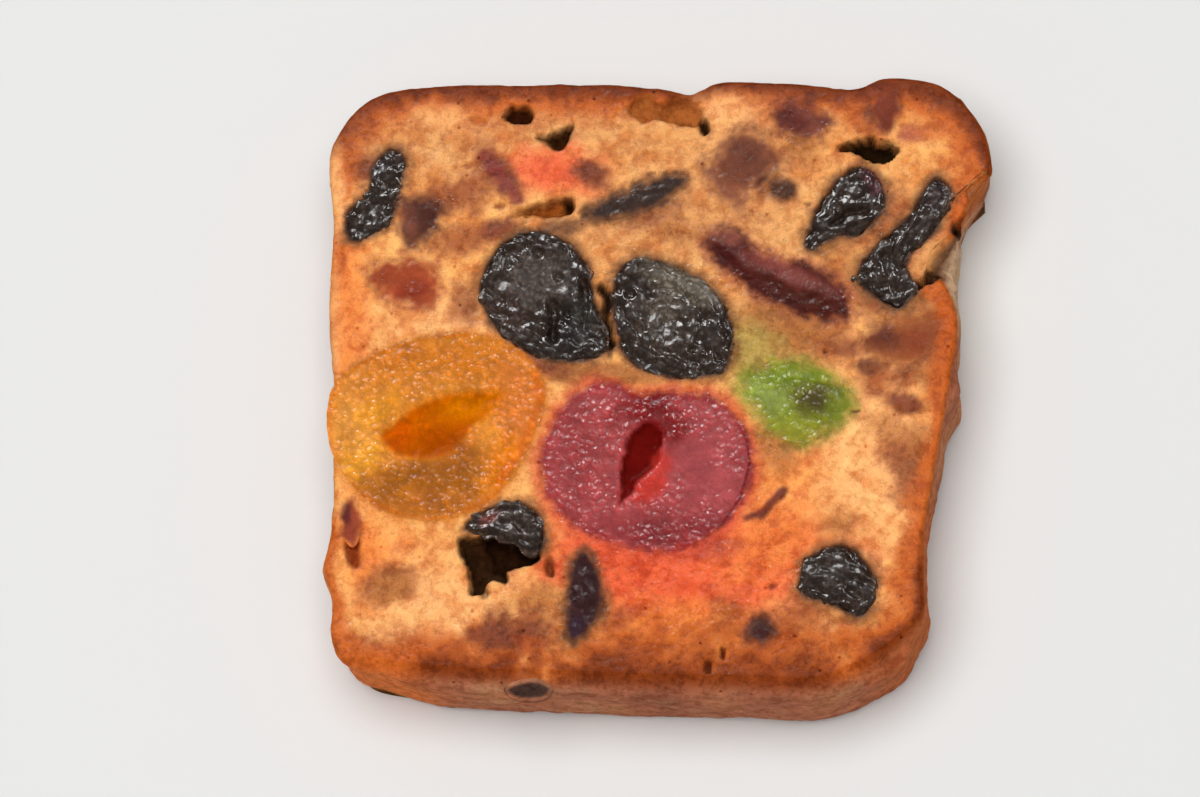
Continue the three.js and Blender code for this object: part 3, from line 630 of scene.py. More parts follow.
# Dents are turned ellipses: x, y, half length, half width, turn, depth. A calm ellipse has little
# relief. Folds are ridges, or grooves if their height is negative: path, half width, height. An
# edgeDrop is how far a top follows the rounded front edge down, by distance inside the cake's edge.
upperFruit = {
    "raisin_centre_left": {
        **raisinLook, "depth": 6.5, "crown": 0.12,
        "outline": [(-19, 10.7), (-17.9, 14.2), (-15.5, 16.8), (-12, 17.2), (-7.9, 14.3), (-6.6, 9.8),
                    (-5.2, 4.4), (-8.8, 2.9), (-13.6, 3.8), (-17.2, 6.7)],
        "stains": [(-12.6, 12, 3.6, 3.4, 0, "#50423A", 0.8, 0.5),
                   (-9.6, 6, 2.2, 2.6, 0, "#221A16", 0.7, 0.6),
                   (-15.6, 8.6, 1.6, 2.6, 30, "#4A342C", 0.6, 0.7),
                   # painted sheen: the grey patch on the folds at the right
                   (-8, 7.2, 1, 2.2, 0, "#4C4A44", 0.6, 0.6)],
        "calm": [(-12.4, 11.6, 3.5, 3.2, 10)],
        "dents": [(-9.4, 8.3, 0.8, 0.8, 0, 0.6), (-12.7, 14.9, 0.7, 0.6, 0, 0.6),
                  (-10.6, 12.1, 0.6, 0.5, 0, 0.5), (-14.6, 11.2, 0.35, 0.3, 0, 0.25)],
        "folds": [([(-11.2, 9.4), (-11, 7.8), (-11.3, 5.6)], 0.4, -1.1),
                  ([(-12.2, 10.6), (-10.8, 10.4), (-9.4, 9.9)], 0.25, 0.25),
                  ([(-9.6, 10.2), (-9.1, 8.6), (-9.4, 6.4)], 0.5, 0.4),
                  ([(-7.9, 11.6), (-7.6, 9.4), (-7.9, 6.6)], 0.35, -0.7)],
    },
    "raisin_centre_right": {
        **raisinLook, "depth": 6.5, "crown": 0.12,
        "outline": [(-4.9, 10.3), (-3.5, 13.7), (0.3, 13.8), (5.5, 11), (7.8, 6.9), (7.2, 2), (3.4, 0.8),
                    (-1.1, 1.6), (-3.7, 3.6), (-4.6, 7.2)],
        "stains": [(0.9, 7.4, 3.2, 3.4, 0, "#44362C", 0.85, 0.6),
                   # painted sheen: the pale grey band at the upper right and the paler middle below it
                   (2.8, 11.3, 4.6, 1.5, -30, "#7E7262", 0.8, 0.7),
                   (0.4, 8.8, 1.8, 1.3, 0, "#6A5C50", 0.8, 0.7)],
        "calm": [(4.6, 10.6, 3.2, 0.9, -38)],
        "dents": [(1, 7.6, 3.2, 2.8, -30, 0.5), (-3, 10.2, 0.7, 0.6, 0, 0.6), (3.6, 4, 0.5, 0.5, 0, 0.4)],
        "folds": [([(-3.2, 12.2), (-0.4, 12.5), (2.2, 11.7), (4.6, 10), (6.3, 7.6), (6.3, 4.4)], 0.7, 0.3),
                  ([(-1.6, 10.6), (0.8, 10.8), (3.2, 9.6), (4.8, 7.6)], 0.35, -0.35),
                  ([(-0.8, 8.4), (1, 8.8), (2.6, 7.8), (3.4, 6)], 0.3, 0.25),
                  ([(-2.6, 4.6), (-0.6, 3.4), (1.8, 3)], 0.4, 0.25)],
    },
    "raisin_torn": {
        **raisinLook, "depth": 5, "crown": 0.1,
        "outline": [(-20.4, -14.8), (-18.6, -13), (-15.5, -11.9), (-12.8, -13), (-11.8, -16),
                    (-12.9, -17.8), (-15.2, -16.9), (-17.6, -15.8)],
        "stains": [(-17.7, -13.7, 1.3, 0.6, 30, "#8A4A40", 0.8, 0.5),
                   (-14.6, -14.2, 1.6, 1.2, 0, "#4A3A32", 0.6, 0.6)],
        "dents": [(-14.6, -14.6, 1.4, 0.5, -50, 0.4)],
        "folds": [([(-19.4, -14.9), (-17, -14.9), (-15.4, -15.6)], 0.35, 0.25)],
    },
    "raisin_slim": {
        **raisinLook, "finish": "dried", "depth": 4.5, "crown": 0.06, "base": "#3E2628", "moist": 0.5,
        "soft": 0.5, "lump": 0.2, "bead": 0.25,
        "outline": [(-9.6, -23.1), (-8.9, -18.6), (-7.4, -17.4), (-5.8, -21.8), (-6.6, -24.9),
                    (-9.2, -26.9)],
        "stains": [(-8.6, -25.4, 0.9, 1.2, 0, "#3E2A3C", 0.7, 0.6)],
    },
    "raisin_lower_right": {
        **raisinLook, "depth": 5.5, "crown": 0.1,
        "outline": [(14.6, -21.9), (15.4, -18.5), (19.2, -17.1), (22, -19.4), (22.6, -22.5),
                    (21.1, -24.8), (18, -23.6)],
        "stains": [(18.6, -21, 2, 1.8, 0, "#3C302A", 0.5, 0.7)],
        "dents": [(19.9, -18, 0.5, 0.8, 10, 0.5), (20, -22, 0.5, 0.5, 0, 0.4)],
        "folds": [([(15.6, -20.4), (17.6, -20.6), (19.6, -20.2), (21.4, -20.4)], 0.3, 0.2)],
    },
    "raisin_folded": {
        **raisinLook, "depth": 5.5, "crown": 0.1,
        "outline": [(15.5, 15.5), (17.5, 20.2), (20.4, 23.5), (23, 22.8), (24.2, 19.5), (21.6, 16.2),
                    (18.8, 15.8), (16.6, 14.6)],
        "stains": [(22.6, 22, 1, 1.6, 30, "#5A3238", 0.8, 0.5)],
        "calm": [(21, 18.2, 1.6, 0.8, 25)],
        "folds": [([(18.6, 17.4), (20.2, 18.6), (22, 18.8)], 0.32, -0.8),
                  ([(18.6, 18.2), (20, 19.4), (21.8, 19.7)], 0.3, 0.3),
                  ([(19.2, 16.8), (20.8, 17.7), (22.4, 17.9)], 0.3, 0.25)],
    },
    "raisin_long": {
        **raisinLook, "depth": 5, "crown": 0.1,
        "outline": [(29.3, 22.2), (31.2, 20.4), (29.3, 16.1), (26.4, 13.3), (27.3, 10.3), (25.2, 8),
                    (21, 11.2), (23, 14.9), (26.3, 18)],
        "stains": [(29.6, 20.6, 1, 1.6, 0, "#4A3A3C", 0.5, 0.7)],
        "folds": [([(28.6, 20.6), (27.4, 17.8), (25.4, 15)], 0.3, 0.25),
                  ([(24, 13.6), (24.4, 11.6), (25.2, 9.8)], 0.3, -0.35)],
    },
    "raisin_high": {
        **raisinLook, "finish": "dried", "depth": 4, "crown": 0.04, "base": "#40342F", "moist": 0.2,
        "lump": 0.12, "bead": 0.12, "soft": 0.9,
        "outline": [(-7.8, 19), (-3.9, 21.3), (0.5, 23), (3.2, 22.6), (-0.3, 19.7), (-5.2, 18.3)],
    },
    "raisin_left": {
        **raisinLook, "depth": 4.5, "crown": 0.08,
        "outline": [(-30.6, 24.5), (-28.7, 26.7), (-26.9, 25.2), (-27.6, 21.8), (-28.9, 18.2),
                    (-32.7, 16.4), (-33.4, 19.6), (-31.3, 21.6)],
        "stains": [(-29.8, 24.8, 1.4, 1.2, 0, "#3A3232", 0.6, 0.6)],
    },
    "raisin_small": {
        **raisinLook, "finish": "dried", "depth": 2.4, "crown": 0.05, "base": "#4A2A28", "lump": 0.1,
        "bead": 0.1, "soft": 0.6, "moist": 0.5,
        "outline": [(9.2, -26.2), (10.6, -24.9), (12, -26.2), (10.6, -27.6)],
        "halo": "#8A4A2C",
    },
    "raisin_crust": {
        **raisinLook, "finish": "crust", "depth": 3, "crown": 0, "base": "#56443F", "moist": 0,
        "lump": 0.06, "bead": 0.05, "soft": 0.25, "halo": "#7A5044", "rim": ("#BE8060", 1, 0.55),
        "edgeDrop": [(0, 2.6), (0.2, 2.1), (0.7, 1.15), (1.3, 0.5), (2.3, 0)],
        "outline": [(-16.4, -31.7), (-14.9, -30.9), (-12.6, -30.8), (-11.2, -31.7), (-12.4, -32.7),
                    (-15, -32.7)],
    },
    "date_long": {
        **driedLook, "depth": 5.5, "crown": 0.08, "base": "#4E2018", "halo": "#B86848", "lump": 0.14,
        "bead": 0.1, "soft": 0.7, "moist": 0.35,
        "outline": [(4.9, 16.1), (7.5, 17.4), (11.3, 14.2), (16.5, 12.8), (20.1, 9.5), (19.4, 7.2),
                    (15, 7.5), (9.2, 10.9), (5.8, 13.9)],
        "stains": [(8.6, 13, 4.4, 1, -50, "#4E1E1A", 0.8, 0.6),
                   (15.4, 9.4, 3.6, 0.9, -22, "#56281E", 0.8, 0.6),
                   (13.8, 12.2, 5, 1.1, -25, "#924E46", 0.75, 0.7),
                   (7.4, 16.2, 1.8, 1, 0, "#9A5A4A", 0.6, 0.7)],
        "folds": [([(6.4, 15.6), (9.6, 12.8), (14.2, 11), (18.4, 9.2)], 0.5, 0.18)],
    },
    "plum_top": {
        **driedLook, "depth": 5, "crown": 0.04, "base": "#7E4638", "soft": 1,
        "outline": [(12.2, 29.3), (14, 31.2), (18.6, 28.9), (16.4, 26.6), (13.5, 27.3)],
        "stains": [(14.4, 28.8, 1.9, 1.1, -20, "#602C28", 0.75, 0.6)],
    },
    "plum_square": {
        **driedLook, "depth": 5.5, "crown": 0.04, "base": "#945C42", "soft": 1.4,
        "outline": [(5, 23.8), (9.3, 28.2), (13, 25.2), (13.1, 23.6), (8.8, 19.7), (6.2, 21.3)],
        "stains": [(9.4, 24.4, 2.6, 2.2, 0, "#6E4030", 0.8, 0.8),
                   (11.6, 22.6, 1.6, 0.4, 40, "#4E2A22", 0.7, 0.5)],
    },
    "fig_left": {
        **driedLook, "depth": 4.5, "crown": 0.04, "base": "#684030", "soft": 1,
        "outline": [(-27.4, 20.8), (-25.2, 21.8), (-22.7, 20.4), (-24.1, 17), (-26.3, 15.7),
                    (-27.8, 17.6)],
        "stains": [(-26.6, 18.8, 0.9, 1.6, 0, "#8A5442", 0.7, 0.6),
                   (-24.6, 19.2, 1.6, 1.5, 0, "#502C24", 0.8, 0.7)],
    },
    "papaya_left": {
        **driedLook, "depth": 5, "crown": 0.04, "base": "#A84E2C", "soft": 1.3, "moist": 0,
        "outline": [(-30.8, 13.7), (-27.5, 14.5), (-23.8, 13.8), (-23.9, 9.7), (-26.9, 9.1),
                    (-30.2, 10.9)],
        "stains": [(-26.4, 10.8, 2, 1.2, 20, "#9A3E26", 0.7, 0.7)],
    },
    "date_right": {
        **driedLook, "depth": 5, "crown": 0.04, "base": "#9E5C36", "soft": 1.2,
        "outline": [(21.7, 5.6), (25, 6.8), (28.9, 6.5), (28.6, 3.5), (25.9, 2), (22.5, 2.9)],
        "stains": [(23.8, 4.8, 1.6, 1.2, 0, "#78402C", 0.8, 0.7),
                   (27, 4.6, 1.6, 1.6, 0, "#94482A", 0.7, 0.7)],
    },
    "date_corner": {
        **driedLook, "depth": 4, "crown": 0.04, "base": "#82402C", "soft": 1,
        "outline": [(23, 31.2), (25.2, 31.9), (25.9, 29.4), (24.6, 27.4), (22.9, 28.6)],
    },
    "papaya_edge": {
        **driedLook, "depth": 3.5, "crown": 0.04, "base": "#A04A30", "soft": 0.5,
        "outline": [(-33.3, -12.3), (-32, -11.6), (-31.3, -14.4), (-32.1, -16.6), (-33.4, -15.2)],
        "stains": [(-33, -13, 0.6, 1.4, 0, "#5E2A2A", 0.8, 0.5)],
    },
    "red_cherry": {
        **cherryLook, "finish": "red", "slot": "red_cherry_flesh", "base": "#B44E52", "depth": 11,
        "crown": 0.08, "halo": "#D85638", "soft": 0.55,
        "calm": [(3.8, -8.4, 4, 5.4, 10), (-0.6, -10.4, 1.5, 2.4, -38)],
        "outline": [(-12.4, -7.5), (-11.4, -4.4), (-9, -0.9), (-5.5, 0.7), (-1.6, -0.6), (2.7, -0.6),
                    (7.1, -1.9), (9.8, -6.5), (9.1, -11.7), (5, -16.2), (-1, -17.6), (-7.1, -15.6),
                    (-11.2, -12.1)],
        "hollow": [(-3.9, -7.4), (-3.7, -5.8), (-2.9, -4.4), (-1.2, -3.7), (0.3, -4.5), (0.7, -5.9),
                   (0.1, -7.3), (-0.9, -9), (-1.9, -10.2), (-3, -11.3), (-4, -12.7), (-4.4, -11.6),
                   (-4, -9.4)],
        # the dark red floor of the stone hollow is painted shade
        "hollowDepth": 0.9, "hollowWall": 0.8, "hollowColour": "#70110D", "rim": ("#9A1E22", 0.6, 0.9),
        "stains": [(-8.8, -7, 2.6, 5.6, 0, "#A44246", 0.7, 0.7),
                   (5, -8.6, 3.4, 5.6, 10, "#AE4E54", 0.7, 0.8),
                   (0.2, -15.3, 7, 1.6, 0, "#8A2C32", 0.7, 0.8),
                   # painted shade: dark red above the stone hollow
                   (-1.4, -2, 3, 2.4, 0, "#861C20", 0.85, 0.7),
                   (1.4, -4.4, 1.6, 1.8, 0, "#861A1C", 0.8, 0.7)],
        # painted light: the bright lower slope of the stone hollow
        "deepStains": [(-0.8, -10.6, 1.2, 2.2, -38, "#C8382C", 0.95, 0.6),
                       (0.4, -8, 0.9, 1.3, -20, "#C83A30", 0.8, 0.6)],
        "lines": [([(7.3, -1.9), (9.2, -4.7), (9.6, -8.3), (8.6, -11.9), (6.5, -15), (4.2, -16.6)], 0.12,
                   "#6A101C", 0.7)],
    },
    "yellow_cherry": {
        **cherryLook, "finish": "yellow", "slot": "yellow_cherry_flesh", "base": "#E08A30", "depth": 11.5,
        "crown": 0.08, "halo": "#E08A40",
        "outline": [(-34.7, 0.2), (-31.2, 3.6), (-25.8, 5.8), (-19.4, 6.2), (-14.4, 4.1), (-11.9, 0.1),
                    (-13.2, -5), (-15.9, -10.1), (-21.1, -13.6), (-27.2, -13.5), (-31.8, -10.6),
                    (-34.7, -5.8)],
        "hollow": [(-30, -5.1), (-28.4, -3.2), (-26.2, -1.2), (-22, 0), (-16.1, -0.1), (-17.2, -2.4),
                   (-20, -4.6), (-21.7, -7), (-25.2, -7.6), (-28, -7)],
        "hollowDepth": 0.32, "hollowWall": 1.9, "hollowColour": "#CE6400", "rim": ("#DC6C10", 0.6, 0.7),
        "stains": [(-24, 3.6, 9, 2.2, 0, "#D47A1C", 0.8, 0.7),
                   (-32.6, -4, 2.2, 3.4, 0, "#E89840", 0.8, 0.7),
                   (-31.2, -7.4, 2.8, 1.8, 30, "#E6962A", 0.85, 0.8),
                   (-24.4, -9.6, 6.4, 2, 4, "#B26A16", 0.9, 0.7),
                   (-21.4, -7.6, 3, 1.2, 20, "#B46A1C", 0.8, 0.7),
                   (-24, -12.2, 6.6, 1.4, 0, "#BA6C22", 0.8, 0.7),
                   (-14.6, -1.6, 2.4, 4.4, 20, "#E07E34", 0.8, 0.7),
                   (-16.4, -7.8, 1.6, 3, -30, "#E07A08", 0.9, 0.6),
                   (-29.4, -1.8, 2.4, 1.6, 30, "#E89424", 0.8, 0.7)],
        "deepStains": [(-27.4, -4.8, 1.4, 1.6, 0, "#D05A04", 0.8, 0.7),
                       (-20, -1.8, 3.4, 1.6, 8, "#D07400", 0.8, 0.7),
                       (-23, -5, 2.6, 1.4, 10, "#B85400", 0.7, 0.8)],
        "lines": [([(-13, 1.6), (-12.4, -0.6), (-13.2, -3.6), (-14.6, -6.8), (-16.6, -9.6)], 0.5,
                   "#E8741C", 0.75)],
    },
    "green_cherry": {
        **cherryLook, "finish": "green", "slot": "green_cherry_flesh", "base": "#84921E", "soft": 1.1,
        "moist": 0.62, "depth": 6, "crown": 0.08, "halo": "#A89A44",
        "outline": [(8.9, 0.2), (11.4, 2), (15.5, 2.1), (19.1, 0.1), (20.2, -2.6), (18, -4.9),
                    (14.7, -6.3), (11.5, -4.6)],
        "stains": [(11.8, -1.2, 2.4, 2, 0, "#94A44E", 0.8, 0.8),
                   (14.6, 0.8, 3, 1, 0, "#7C941E", 0.8, 0.7),
                   (16.5, -1.6, 1.9, 1.5, 0, "#565224", 0.9, 0.9),
                   (14.4, -4.6, 2.8, 1.2, 0, "#98982E", 0.7, 0.8),
                   (18.8, -2.2, 0.9, 1.8, 0, "#7C8A24", 0.7, 0.7)],
    },
}

underFruit = {
    "raisin_under_left": {
        **raisinLook, "depth": 5,
        "outline": [(-30.5, 20.4), (-27.6, 23), (-23.2, 21.6), (-22, 17.4), (-25, 14.6), (-29.4, 16.2)],
    },
    "raisin_under_right": {
        **raisinLook, "depth": 5,
        "outline": [(18.4, 21), (22.6, 23.4), (27, 21.2), (26.2, 17), (21.8, 15.4), (18.6, 17.4)],
    },
    "raisin_under_base": {
        **raisinLook, "depth": 5,
        "outline": [(-6.4, -24.6), (-2.2, -22.8), (2.2, -24.8), (1.4, -28.6), (-3, -29.8), (-6.6, -28)],
    },
    "raisin_under_slim": {
        **raisinLook, "depth": 4.5,
        "outline": [(-14.6, 28.6), (-9, 29.6), (-4.4, 27.6), (-6.6, 25.4), (-12.6, 25.6)],
    },
    "plum_under": {
        **driedLook, "depth": 5.5, "base": "#7A4434",
        "outline": [(15, -12), (20.4, -10.6), (22.8, -14.4), (20.2, -18.2), (15.4, -17.2)],
    },
    "red_cherry_under": {
        **cherryLook, "finish": "red", "slot": "red_cherry_flesh", "base": "#A04246", "depth": 7,
        "halo": "#C8584A", "rim": ("#7C1420", 0.75, 0.8),
        "outline": [(-13.6, 14), (-10.4, 19.4), (-4.6, 21.4), (1, 19.2), (3.2, 13.8), (0.6, 8.8),
                    (-5.2, 6.9), (-11.2, 8.6)],
        "lines": [([(-11.6, 16.6), (-5.4, 20.2), (1.2, 17.4), (1.8, 12.4)], 0.14, "#6A1420", 0.9)],
    },
    "green_cherry_under": {
        **cherryLook, "finish": "green", "slot": "green_cherry_flesh", "base": "#869428", "depth": 5.5,
        "halo": "#A89A44",
        "outline": [(-29.4, -20.6), (-25.8, -18.2), (-20.6, -19), (-18.8, -22.6), (-22.2, -26),
                    (-27.4, -25.4)],
    },
}
underRecess = 0.12  # underside fruit stays this far off the surface below
loops = {name: smoothLoop(fruit["outline"], 160) for name, fruit in {**upperFruit, **underFruit}.items()}
edgeLoop = smoothLoop(cake["edge"], 400)


def fruitColours(x, y, fruit, inside, seed):
    # A fruit's colours: its stains over its base colour (among them painted sheen and shade on some),
    # its rim by the distance inside its outline, its hollow (on the red cherry painted shade with a
    # painted lit slope), its lines, and slow and fine drift
    points = flatPoints(x, y)
    colours = np.tile(hexColour(fruit["base"]), (len(x), 1))
    colours = stained(colours, x, y, fruit.get("stains", []), seed)
    if "rim" in fruit:
        code, share, wide = fruit["rim"]
        uneven = 0.75 + 0.5 * hills(points, 3.0, seed + 7)
        colours = mixed(colours, code, share * uneven * (1 - smoothStep(inside, wide * 0.4, wide)))
    if "hollow" in fruit:
        deep = smoothStep(hollowDepth(x, y, fruit), 0.0, 0.5)
        floor = np.tile(hexColour(fruit["hollowColour"]), (len(x), 1))
        colours = mixed(colours, floor, deep)
        # the hollow's own patches; on the red cherry they paint the lit slope
        colours = stained(colours, x, y, fruit["deepStains"], seed + 8)
    for path, half, code, share in fruit.get("lines", []):
        away = awayFromPath(x, y, path) + 0.06 * hills(points, 0.6, seed + 9)
        colours = mixed(colours, code, share * (1 - smoothStep(away, half * 0.5, half * 1.6)))
    drift = 0.13 * hills(points, 2.2, seed + 11) + 0.1 * hills(points, 0.6, seed + 12)
    return np.clip(colours * (1 + drift[:, None]), 0, 1)


def hollowDepth(x, y, fruit):
    # How far into a cherry's stone hollow each point lies, 0 at its uneven edge and 1 at the floor
    points = flatPoints(x, y)
    bend = [0.35 * hills(points, 1.6, 71 + k) + 0.15 * hills(points, 0.7, 73 + k) for k in (0, 1)]
    within = -signedDistance(x + bend[0], y + bend[1], smoothLoop(fruit["hollow"], 120))
    return smoothStep(within, -0.1, fruit["hollowWall"])


def faceColours(x, y, fruits, under):
    # Colours and wetness all over a cut face: stained crumb, browned towards the crust, with juice
    # drawn into the crumb round each fruit, round the raisins also painted shade at their edge, pale
    # streaks of painted light along the upper face's left edge, and soft fruit showing through a thin
    # film at its rim.
    points = flatPoints(x, y)
    colours = np.tile(hexColour(cake["crumb"]), (len(x), 1))
    if under:
        broad = hills(points, 9.0, 12)
        colours = mixed(colours, cake["underPale"], smoothStep(broad, 0.0, 0.6) * 0.8)
        colours = mixed(colours, cake["underWarm"], smoothStep(-broad, 0.1, 0.7) * 0.7)
    else:
        colours = stained(colours, x, y, cake["stains"] + strewnPatches(cake["patches"]), 40)
    blotch = 0.8 * hills(points, 2.6, 53) + 0.8 * hills(points, 1.2, 57) + 0.6 * hills(points, 0.6, 58)
    colours = mixed(colours, colours * [0.84, 0.64, 0.44], 0.75 * smoothStep(blotch, 0.1, 1.1))
    colours = mixed(colours, colours * [1.1, 1.18, 1.24], 0.7 * smoothStep(-blotch, 0.1, 1.0))
    edge = -signedDistance(x, y, edgeLoop, 12.0)
    turn = np.degrees(np.arctan2(y, x)) % 360
    angle, warm, dark = np.array(cake["browning"], float).T
    uneven = 1 + 0.35 * hills(points, 5.0, 51) + 0.25 * hills(points, 1.6, 52)
    uneven += 0.12 * hills(points, 0.7, 50)
    angle = np.r_[angle, 360]
    warm, dark = (uneven * np.interp(turn, angle, np.r_[wide, wide[0]]) for wide in (warm, dark))
    if under:
        warm, dark = np.minimum(warm, 4.0), np.minimum(dark, 2.0)
    colours = mixed(colours, cake["warm"], 0.88 * (1 - smoothStep(edge / warm, 0.45, 1.1)))
    colours = mixed(colours, cake["crust"], 0.92 * (1 - smoothStep(edge / dark, 0.35, 1.2)))
    moist = np.full(len(x), 0.14)
    if not under:
        for path, half, code, share in cake["strokes"]:
            away = awayFromPath(x, y, path) + 0.25 * hills(points, 0.9, 59)
            colours = mixed(colours, code, share * (1 - smoothStep(away, half * 0.4, half * 1.4)))
        for cx, cy, long, wide, tilt, amount in cake["wet"]:
            reach = ellipseReach(x, y, cx, cy, long, wide, tilt)
            moist = np.maximum(moist, amount * (1 - smoothStep(reach, 0.6, 1.2)))
    ragged = 0.5 * hills(points, 1.1, 54) + 0.35 * hills(points, 0.45, 55)
    away = {name: signedDistance(x, y, loops[name]) for name in fruits}
    for name, fruit in fruits.items():
        # juice drawn into the crumb; round the raisins also painted shade at their edge
        if "halo" in fruit:
            reach = smoothStep(away[name] + 0.7 * ragged, 0.0, haloWidth[fruit["finish"]])
            colours = mixed(colours, fruit["halo"], 0.75 * (1 - reach))
            moist += 0.2 * (1 - smoothStep(away[name], 0.0, 1.5))
    if not under:
        colours = stained(colours, x, y, cake["lateStains"], 90)
    for order, (name, fruit) in enumerate(fruits.items()):
        soft = fruit["soft"]
        near = np.where(away[name] < soft * 2 + 0.5)[0]
        if len(near):
            outside = away[name][near]
            own = fruitColours(x[near], y[near], fruit, -outside, 200 + 20 * order)
            share = 1 - smoothStep(outside + soft * ragged[near], -soft, soft)
            colours[near] = mixed(colours[near], own, share)
    gain = 0.69 + colours @ np.array([[0.3], [0.6], [0.1]])  # bright places brighter, dark ones darker
    moist *= smoothStep(edge, 0.2, 1.4)
    return np.clip(colours * gain ** [0.4, 1.0, 1.0] * [0.97, 0.94, 0.87], 0, 0.98), moist


def crumbRelief(points, seed):
    # Sponge relief: three sizes of soft hills, less scattered pores, in millimetres
    relief = 0.08 * hills(points, 3.0, seed) + 0.07 * hills(points, 1.1, seed + 1)
    relief += 0.04 * hills(points, 0.55, seed + 4)
    near = pebbles(points, 3.2, seed + 2)
    pore = 1 - smoothStep(near + 0.06 * hills(points, 5.0, seed + 3), 0.04, 0.11)
    return relief - 0.3 * pore, pore


def fruitTop(x, y, fruit, loop, seed):
    # Height of a fruit's cut face over the cake's face: a crown rising from its rim, rounded folds
    # with sharp creases between them (the size of slow noise, without its sign) at two sizes, and
    # beads, then its own folds and dents. Calm places keep a fifth of the relief, and heights over
    # 0.2 flatten off towards 0.4.
    points = flatPoints(x, y)
    inside = -signedDistance(x, y, loop)
    warp = np.stack([hills(points, 1.7, seed + k) for k in (1, 2, 3)], axis=1)
    calm = np.ones(len(x))
    for ellipse in fruit.get("calm", []):
        calm -= 0.8 * (1 - smoothStep(ellipseReach(x, y, *ellipse), 0.7, 1.2))
    rim = smoothStep(inside, 0.0, 0.5)
    torn = 0.3 * hills(points, 0.9, seed + 10) + 0.2 * hills(points, 0.45, seed + 11)
    folds = np.abs(hills(points + 0.8 * warp, 2.0, seed))
    folds += 0.5 * np.abs(hills(points + 0.5 * warp, 1.0, seed + 5))
    beads = pebbles(points + 0.25 * warp, 1.0, seed + 9)
    grains = pebbles(points + 0.15 * warp, 0.55, seed + 12)
    height = fruit.get("crown", 0) * smoothStep(inside, 0, 1.4) - 0.06
    height += fruit["lump"] * (1.7 * np.minimum(folds, 0.75) - 0.8) * rim * calm
    height += fruit["bead"] * (np.sqrt(np.clip(1 - (beads / 0.75) ** 2, 0, 1)) - 0.6) * calm
    height += 0.3 * fruit["bead"] * (np.sqrt(np.clip(1 - (grains / 0.75) ** 2, 0, 1)) - 0.6)
    for path, half, rise in fruit.get("folds", []):
        away = awayFromPath(x, y, path) + 0.15 * hills(points, 1.0, seed + 6)
        height += rise * np.exp(-((away / half) ** 2))
    for *ellipse, depth in fruit.get("dents", []):
        height -= depth * (1 - smoothStep(ellipseReach(x, y, *ellipse), 0.3, 1.15))
    if fruit["finish"] == "raisin":
        height -= 0.2 * (1 - smoothStep(inside + torn, 0.0, 0.6)) ** 2
    else:
        own = smoothStep(inside, 0.2, 1.3)
        height = height * own + (crumbRelief(points, 1)[0] - 0.01) * (1 - own)
    return np.where(height > 0.2, 0.2 + 0.2 * np.tanh((height - 0.2) / 0.2), height)


def fruitHalves(fruit, seed):
    # The outline with small bumps across it, split at its two furthest points into a right and a
    # left half that run the same way, and the distance between those two points
    count = 960
    fine = smoothLoop(fruit["outline"], count)
    ragged = 0.4 if fruit["finish"] == "raisin" else 0.05
    bumpy = hills(flatPoints(*fine.T), 1.4, seed + 4) + 0.7 * hills(flatPoints(*fine.T), 0.7, seed + 14)
    along = np.roll(fine, -1, axis=0) - np.roll(fine, 1, axis=0)
    along /= np.linalg.norm(along, axis=1)[:, None]
    fine = fine + np.stack([along[:, 1], -along[:, 0]], axis=1) * (ragged * bumpy)[:, None]
    gaps = np.linalg.norm(fine[::6, None] - fine[None, ::6], axis=2)
    one, two = sorted(6 * k for k in np.unravel_index(gaps.argmax(), gaps.shape))
    right = np.roll(fine, -one, axis=0)[: two - one + 1]
    left = np.roll(fine, -two, axis=0)[: count - (two - one) + 1][::-1]
    return fine, right, left, gaps.max()


